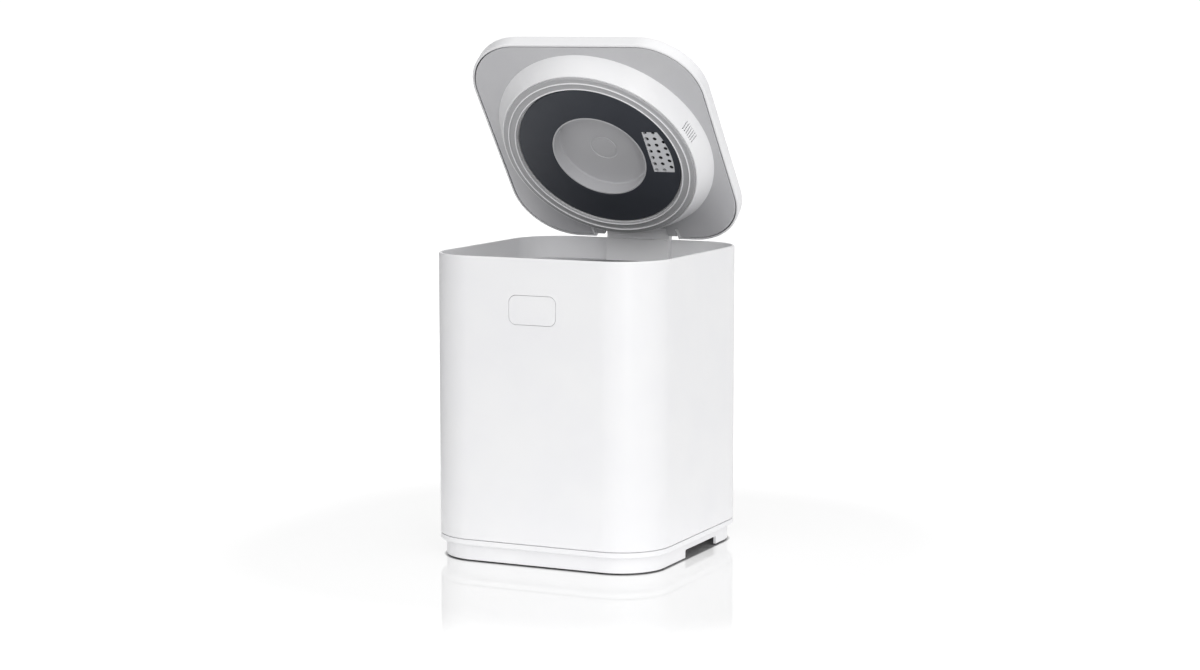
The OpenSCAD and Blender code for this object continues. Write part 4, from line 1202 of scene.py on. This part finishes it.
@dataclass
class Carried:
    """CAD nodes that keep their own shape and take a finish."""

    edges: tuple[str, ...] = (
        "bail_handle",
        "stirring_rotor",
        "fixed_blades",
        "exhaust_grille",
        "power_inlet",
    )
    edge_mm: float = 0.3
    edge_deg: float = 50.0

    def build(self, replaced: set[str]) -> None:
        """Dress each node that nothing replaces.

        Args:
            replaced: Names of the nodes that a piece stands for.
        """
        slots = {part["node"]: part["material_slot"] for part in frame["record"]["subparts"]}
        for name, node in frame["nodes"].items():
            if name in replaced:
                continue
            slot = Slot[slots[name]]
            node.data.materials.clear()
            node.data.materials.append(slot.material())
            if name in self.edges:
                bevel = node.modifiers.new("edges", "BEVEL")
                bevel.width = self.edge_mm * MM
                bevel.limit_method = "ANGLE"
                bevel.angle_limit = math.radians(self.edge_deg)
                bevel.harden_normals = True
            log.info("%s keeps its shape in %s", name, slot.name)


def towards(azimuth: float, elevation: float) -> Vector:
    """Direction from the object, in degrees from the front towards the right and upwards."""
    az, el = math.radians(azimuth), math.radians(elevation)
    return Vector((math.sin(az) * math.cos(el), -math.cos(az) * math.cos(el), math.sin(el)))


@dataclass
class Studio:
    """A plain pale sweep, soft light and the camera.

    The camera's target and distance and the floor's size are millimetres. What the
    shaders and the lamp take is metres. A reach is where a change starts and ends.
    """

    azimuth: float = 25.228
    elevation: float = 6.98
    focal_px: float = 2600.0
    frame_px: float = 1200.0
    target: Point3 = (13.474, 0.0, 237.449)
    distance: float = 2875.6
    floor_half: float = 60_000.0
    # The core of the footprint, and how far beyond it the casing's rounded edge stands. The sheet gives no
    # glow inside this contact reach, which paints a dark contact shadow under the plinth and round its foot.
    core: Point3 = (0.0785, 0.0835, 0.0)
    contact: Point2 = (0.0502, 0.0535)
    # The lit sheet, its polish, the matt floor beyond it and the light that it sends back.
    sheet: str = "#959595"
    lit: float = 0.79
    polish_ior: float = 2.3
    polish_roughness: float = 0.05
    polish_reach: Point2 = (0.24, 0.5)
    matt: str = "#fbfbfb"
    wash: float = 0.3
    wash_reach: Point2 = (0.1, 0.3)
    bounce: float = 0.19
    bounce_reach: Point2 = (0.06, 0.3)
    # The dark cloth on the left: its shade, the shade of the rest, and its edge along X.
    cloth: Point2 = (0.5, 0.96)
    cloth_reach: Point2 = (-0.9, -0.25)
    # The room: where it is bright, where a flag shades it, and the backdrop behind.
    white: tuple[float, float, float, float] = (1.0, 1.0, 1.0, 1.0)
    seen_level: float = 1.05
    bright_side: Point3 = (0.06, -0.45, 0.89)
    bright_reach: Point2 = (-0.45, 0.95)
    bright: Point2 = (0.27, 1.39)
    flag_side: Point3 = (-0.97, 0.2, 0.1)
    flag_reach: Point2 = (0.2, 0.85)
    flag: float = 0.1
    backdrop: Point3 = (-0.423, 0.898, 0.122)
    backdrop_reach: Point2 = (0.91, 0.95)
    # One soft upright strip at the right front, in degrees, metres and watts.
    strip_at: Point2 = (38.0, 14.0)
    strip_distance: float = 2.4
    strip_size: Point2 = (0.5, 2.2)
    strip_watts: float = 7.0
    strip_aim: Point3 = (0.0, 0.0, 0.2)

    def camera(self) -> None:
        """Set the camera where the picture was taken from."""
        data = bpy.data.cameras.new("camera")
        data.sensor_width = 36.0
        data.lens = self.focal_px * data.sensor_width / self.frame_px
        data.clip_end = self.floor_half * MM
        back = towards(self.azimuth, self.elevation)
        right = towards(self.azimuth + 90, 0)
        turn = Matrix((right, back.cross(right), back)).transposed()
        camera = bpy.data.objects.new("camera", data)
        spot = (Vector(self.target) + back * self.distance) * MM
        camera.matrix_world = Matrix.Translation(spot) @ turn.to_4x4()
        bpy.context.scene.collection.objects.link(camera)
        bpy.context.scene.camera = camera

    def floor(self) -> None:
        """Lay the pale floor: a lit sheet round the object that turns matt further out."""
        h = self.floor_half
        piece = Form([(-h, -h, 0), (h, -h, 0), (h, h, 0), (-h, h, 0)], [[0, 1, 2, 3]]).object("floor")
        # Opal acrylic lit from below: shadows wash out, and its polish gives a weak mirror image.
        sheet = bpy.data.materials.new("opal_acrylic_sheet")
        graph = Graph(sheet)
        # Distance from the core of the footprint, whose corners are round.
        size = graph.add("VectorMath", {0: graph.place}, operation="ABSOLUTE")
        over = graph.add("VectorMath", {0: size, 1: self.core}, operation="SUBTRACT")
        outside = graph.add("VectorMath", {0: over}, operation="MAXIMUM")
        away = graph.add("VectorMath", {0: outside}, operation="LENGTH").outputs["Value"]
        side = graph.add("SeparateXYZ", {0: graph.place})
        level: dict[str, Node] = {}
        # Inside the contact reach the sheet's glow is nothing: a painted contact shadow under and round the
        # plinth's foot.
        for name, value, (start, end), (before, after) in (
            ("lit", away, self.contact, (0.0, self.lit)),
            ("wash", away, self.wash_reach, (0.0, self.wash)),
            ("rise", away, self.contact, (0.0, self.bounce)),
            ("fall", away, self.bounce_reach, (self.bounce, 0.0)),
            ("polish", away, self.polish_reach, (1.0, 0.0)),
            ("cloth", side, self.cloth_reach, self.cloth),
        ):
            inputs = {"Value": value, "From Min": start, "From Max": end, "To Min": before, "To Max": after}
            level[name] = graph.add("MapRange", inputs, interpolation_type="SMOOTHSTEP")
        ring = graph.add("Math", {0: level["rise"], 1: level["fall"]}, operation="MINIMUM")
        # The lit sheet, the matt floor far out, and what lights the object: a white floor
        # with a dark cloth out on the left.
        layers: list[Node] = []
        for colour, glow in (
            (linear_from_hex(self.sheet), level["lit"]),
            (linear_from_hex(self.matt), level["wash"]),
            (level["cloth"], ring),
        ):
            body = graph.add("BsdfDiffuse", {"Color": colour})
            light = graph.add("Emission", {"Strength": glow})
            layers.append(graph.add("AddShader", {0: body, 1: light}))
        opal, far, unseen = layers
        # The polish takes from the sheet's own light what it mirrors.
        gloss = graph.add("BsdfGlossy", {"Roughness": self.polish_roughness})
        fresnel = graph.add("Fresnel", {"IOR": self.polish_ior})
        near = graph.add("MixShader", {0: fresnel, 1: opal, 2: gloss})
        seen = graph.add("MixShader", {0: level["polish"], 1: far, 2: near})
        # Only the eye sees the sheet.
        eye = graph.add("LightPath").outputs["Is Camera Ray"]
        both = graph.add("MixShader", {0: eye, 1: unseen, 2: seen})
        graph.add("OutputMaterial", {"Surface": both})
        piece.data.materials.append(sheet)

    def strip(self) -> None:
        """Hang one soft upright panel that looks at the object."""
        data = bpy.data.lights.new("strip_right", "AREA")
        data.shape = "RECTANGLE"
        data.size, data.size_y = self.strip_size
        data.energy = self.strip_watts
        back = towards(*self.strip_at)
        lamp = bpy.data.objects.new("strip_right", data)
        lamp.location = Vector(self.strip_aim) + back * self.strip_distance
        lamp.rotation_euler = back.to_track_quat("Z", "Y").to_euler()
        lamp.visible_camera = False
        bpy.context.scene.collection.objects.link(lamp)

    def surround(self) -> None:
        """Make the white room: plain white to look at, and softer as a source of light.

        The light is brightest from above and from the front right, and dimmer from the
        left and from behind, which draws the left edge.
        """
        world = bpy.data.worlds.new("white_room")
        graph = Graph(world, "Generated")
        level: list[Node] = []
        for side, (start, end), (before, after), kind in (
            (self.bright_side, self.bright_reach, self.bright, "LINEAR"),
            (self.flag_side, self.flag_reach, (1.0, self.flag), "SMOOTHSTEP"),
            (self.backdrop, self.backdrop_reach, (0.0, 1.0), "SMOOTHSTEP"),
        ):
            facing = graph.add("VectorMath", {0: graph.place, 1: side}, operation="DOT_PRODUCT")
            inputs = {"From Min": start, "From Max": end, "To Min": before, "To Max": after}
            inputs["Value"] = facing.outputs["Value"]
            level.append(graph.add("MapRange", inputs, interpolation_type=kind))
        room, flag, card = level
        shaded = graph.add("Math", {0: room, 1: flag}, operation="MULTIPLY")
        lit = graph.add("Background", {"Color": self.white, "Strength": shaded})
        seen = graph.add("Background", {"Color": self.white, "Strength": self.seen_level})
        # Shiny faces see the white backdrop behind the object, as the camera does.
        path = graph.add("LightPath").outputs
        mirrored = graph.add("Math", {0: path["Is Glossy Ray"], 1: card}, operation="MULTIPLY")
        white = graph.add("Math", {0: path["Is Camera Ray"], 1: mirrored}, operation="MAXIMUM")
        mix = graph.add("MixShader", {0: white, 1: lit, 2: seen})
        graph.add("OutputWorld", {"Surface": mix})
        bpy.context.scene.world = world

    def build(self) -> None:
        """Build the studio."""
        for make in (self.camera, self.floor, self.surround, self.strip):
            make()
        bpy.context.scene.view_settings.view_transform = "Standard"


def main() -> None:
    """Build the studio, then the object piece by piece."""
    logging.basicConfig(level=logging.INFO, format="%(name)s: %(message)s")
    Studio().build()
    for assembly in (Casing(), HingeBlock(), Button(), Bucket(), Lid()):
        assembly.build()
        log.info("%s is built", type(assembly).__name__)
    Carried().build({n for o in bpy.data.objects for n in o.get("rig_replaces", [])})


if __name__ == "__main__":
    main()
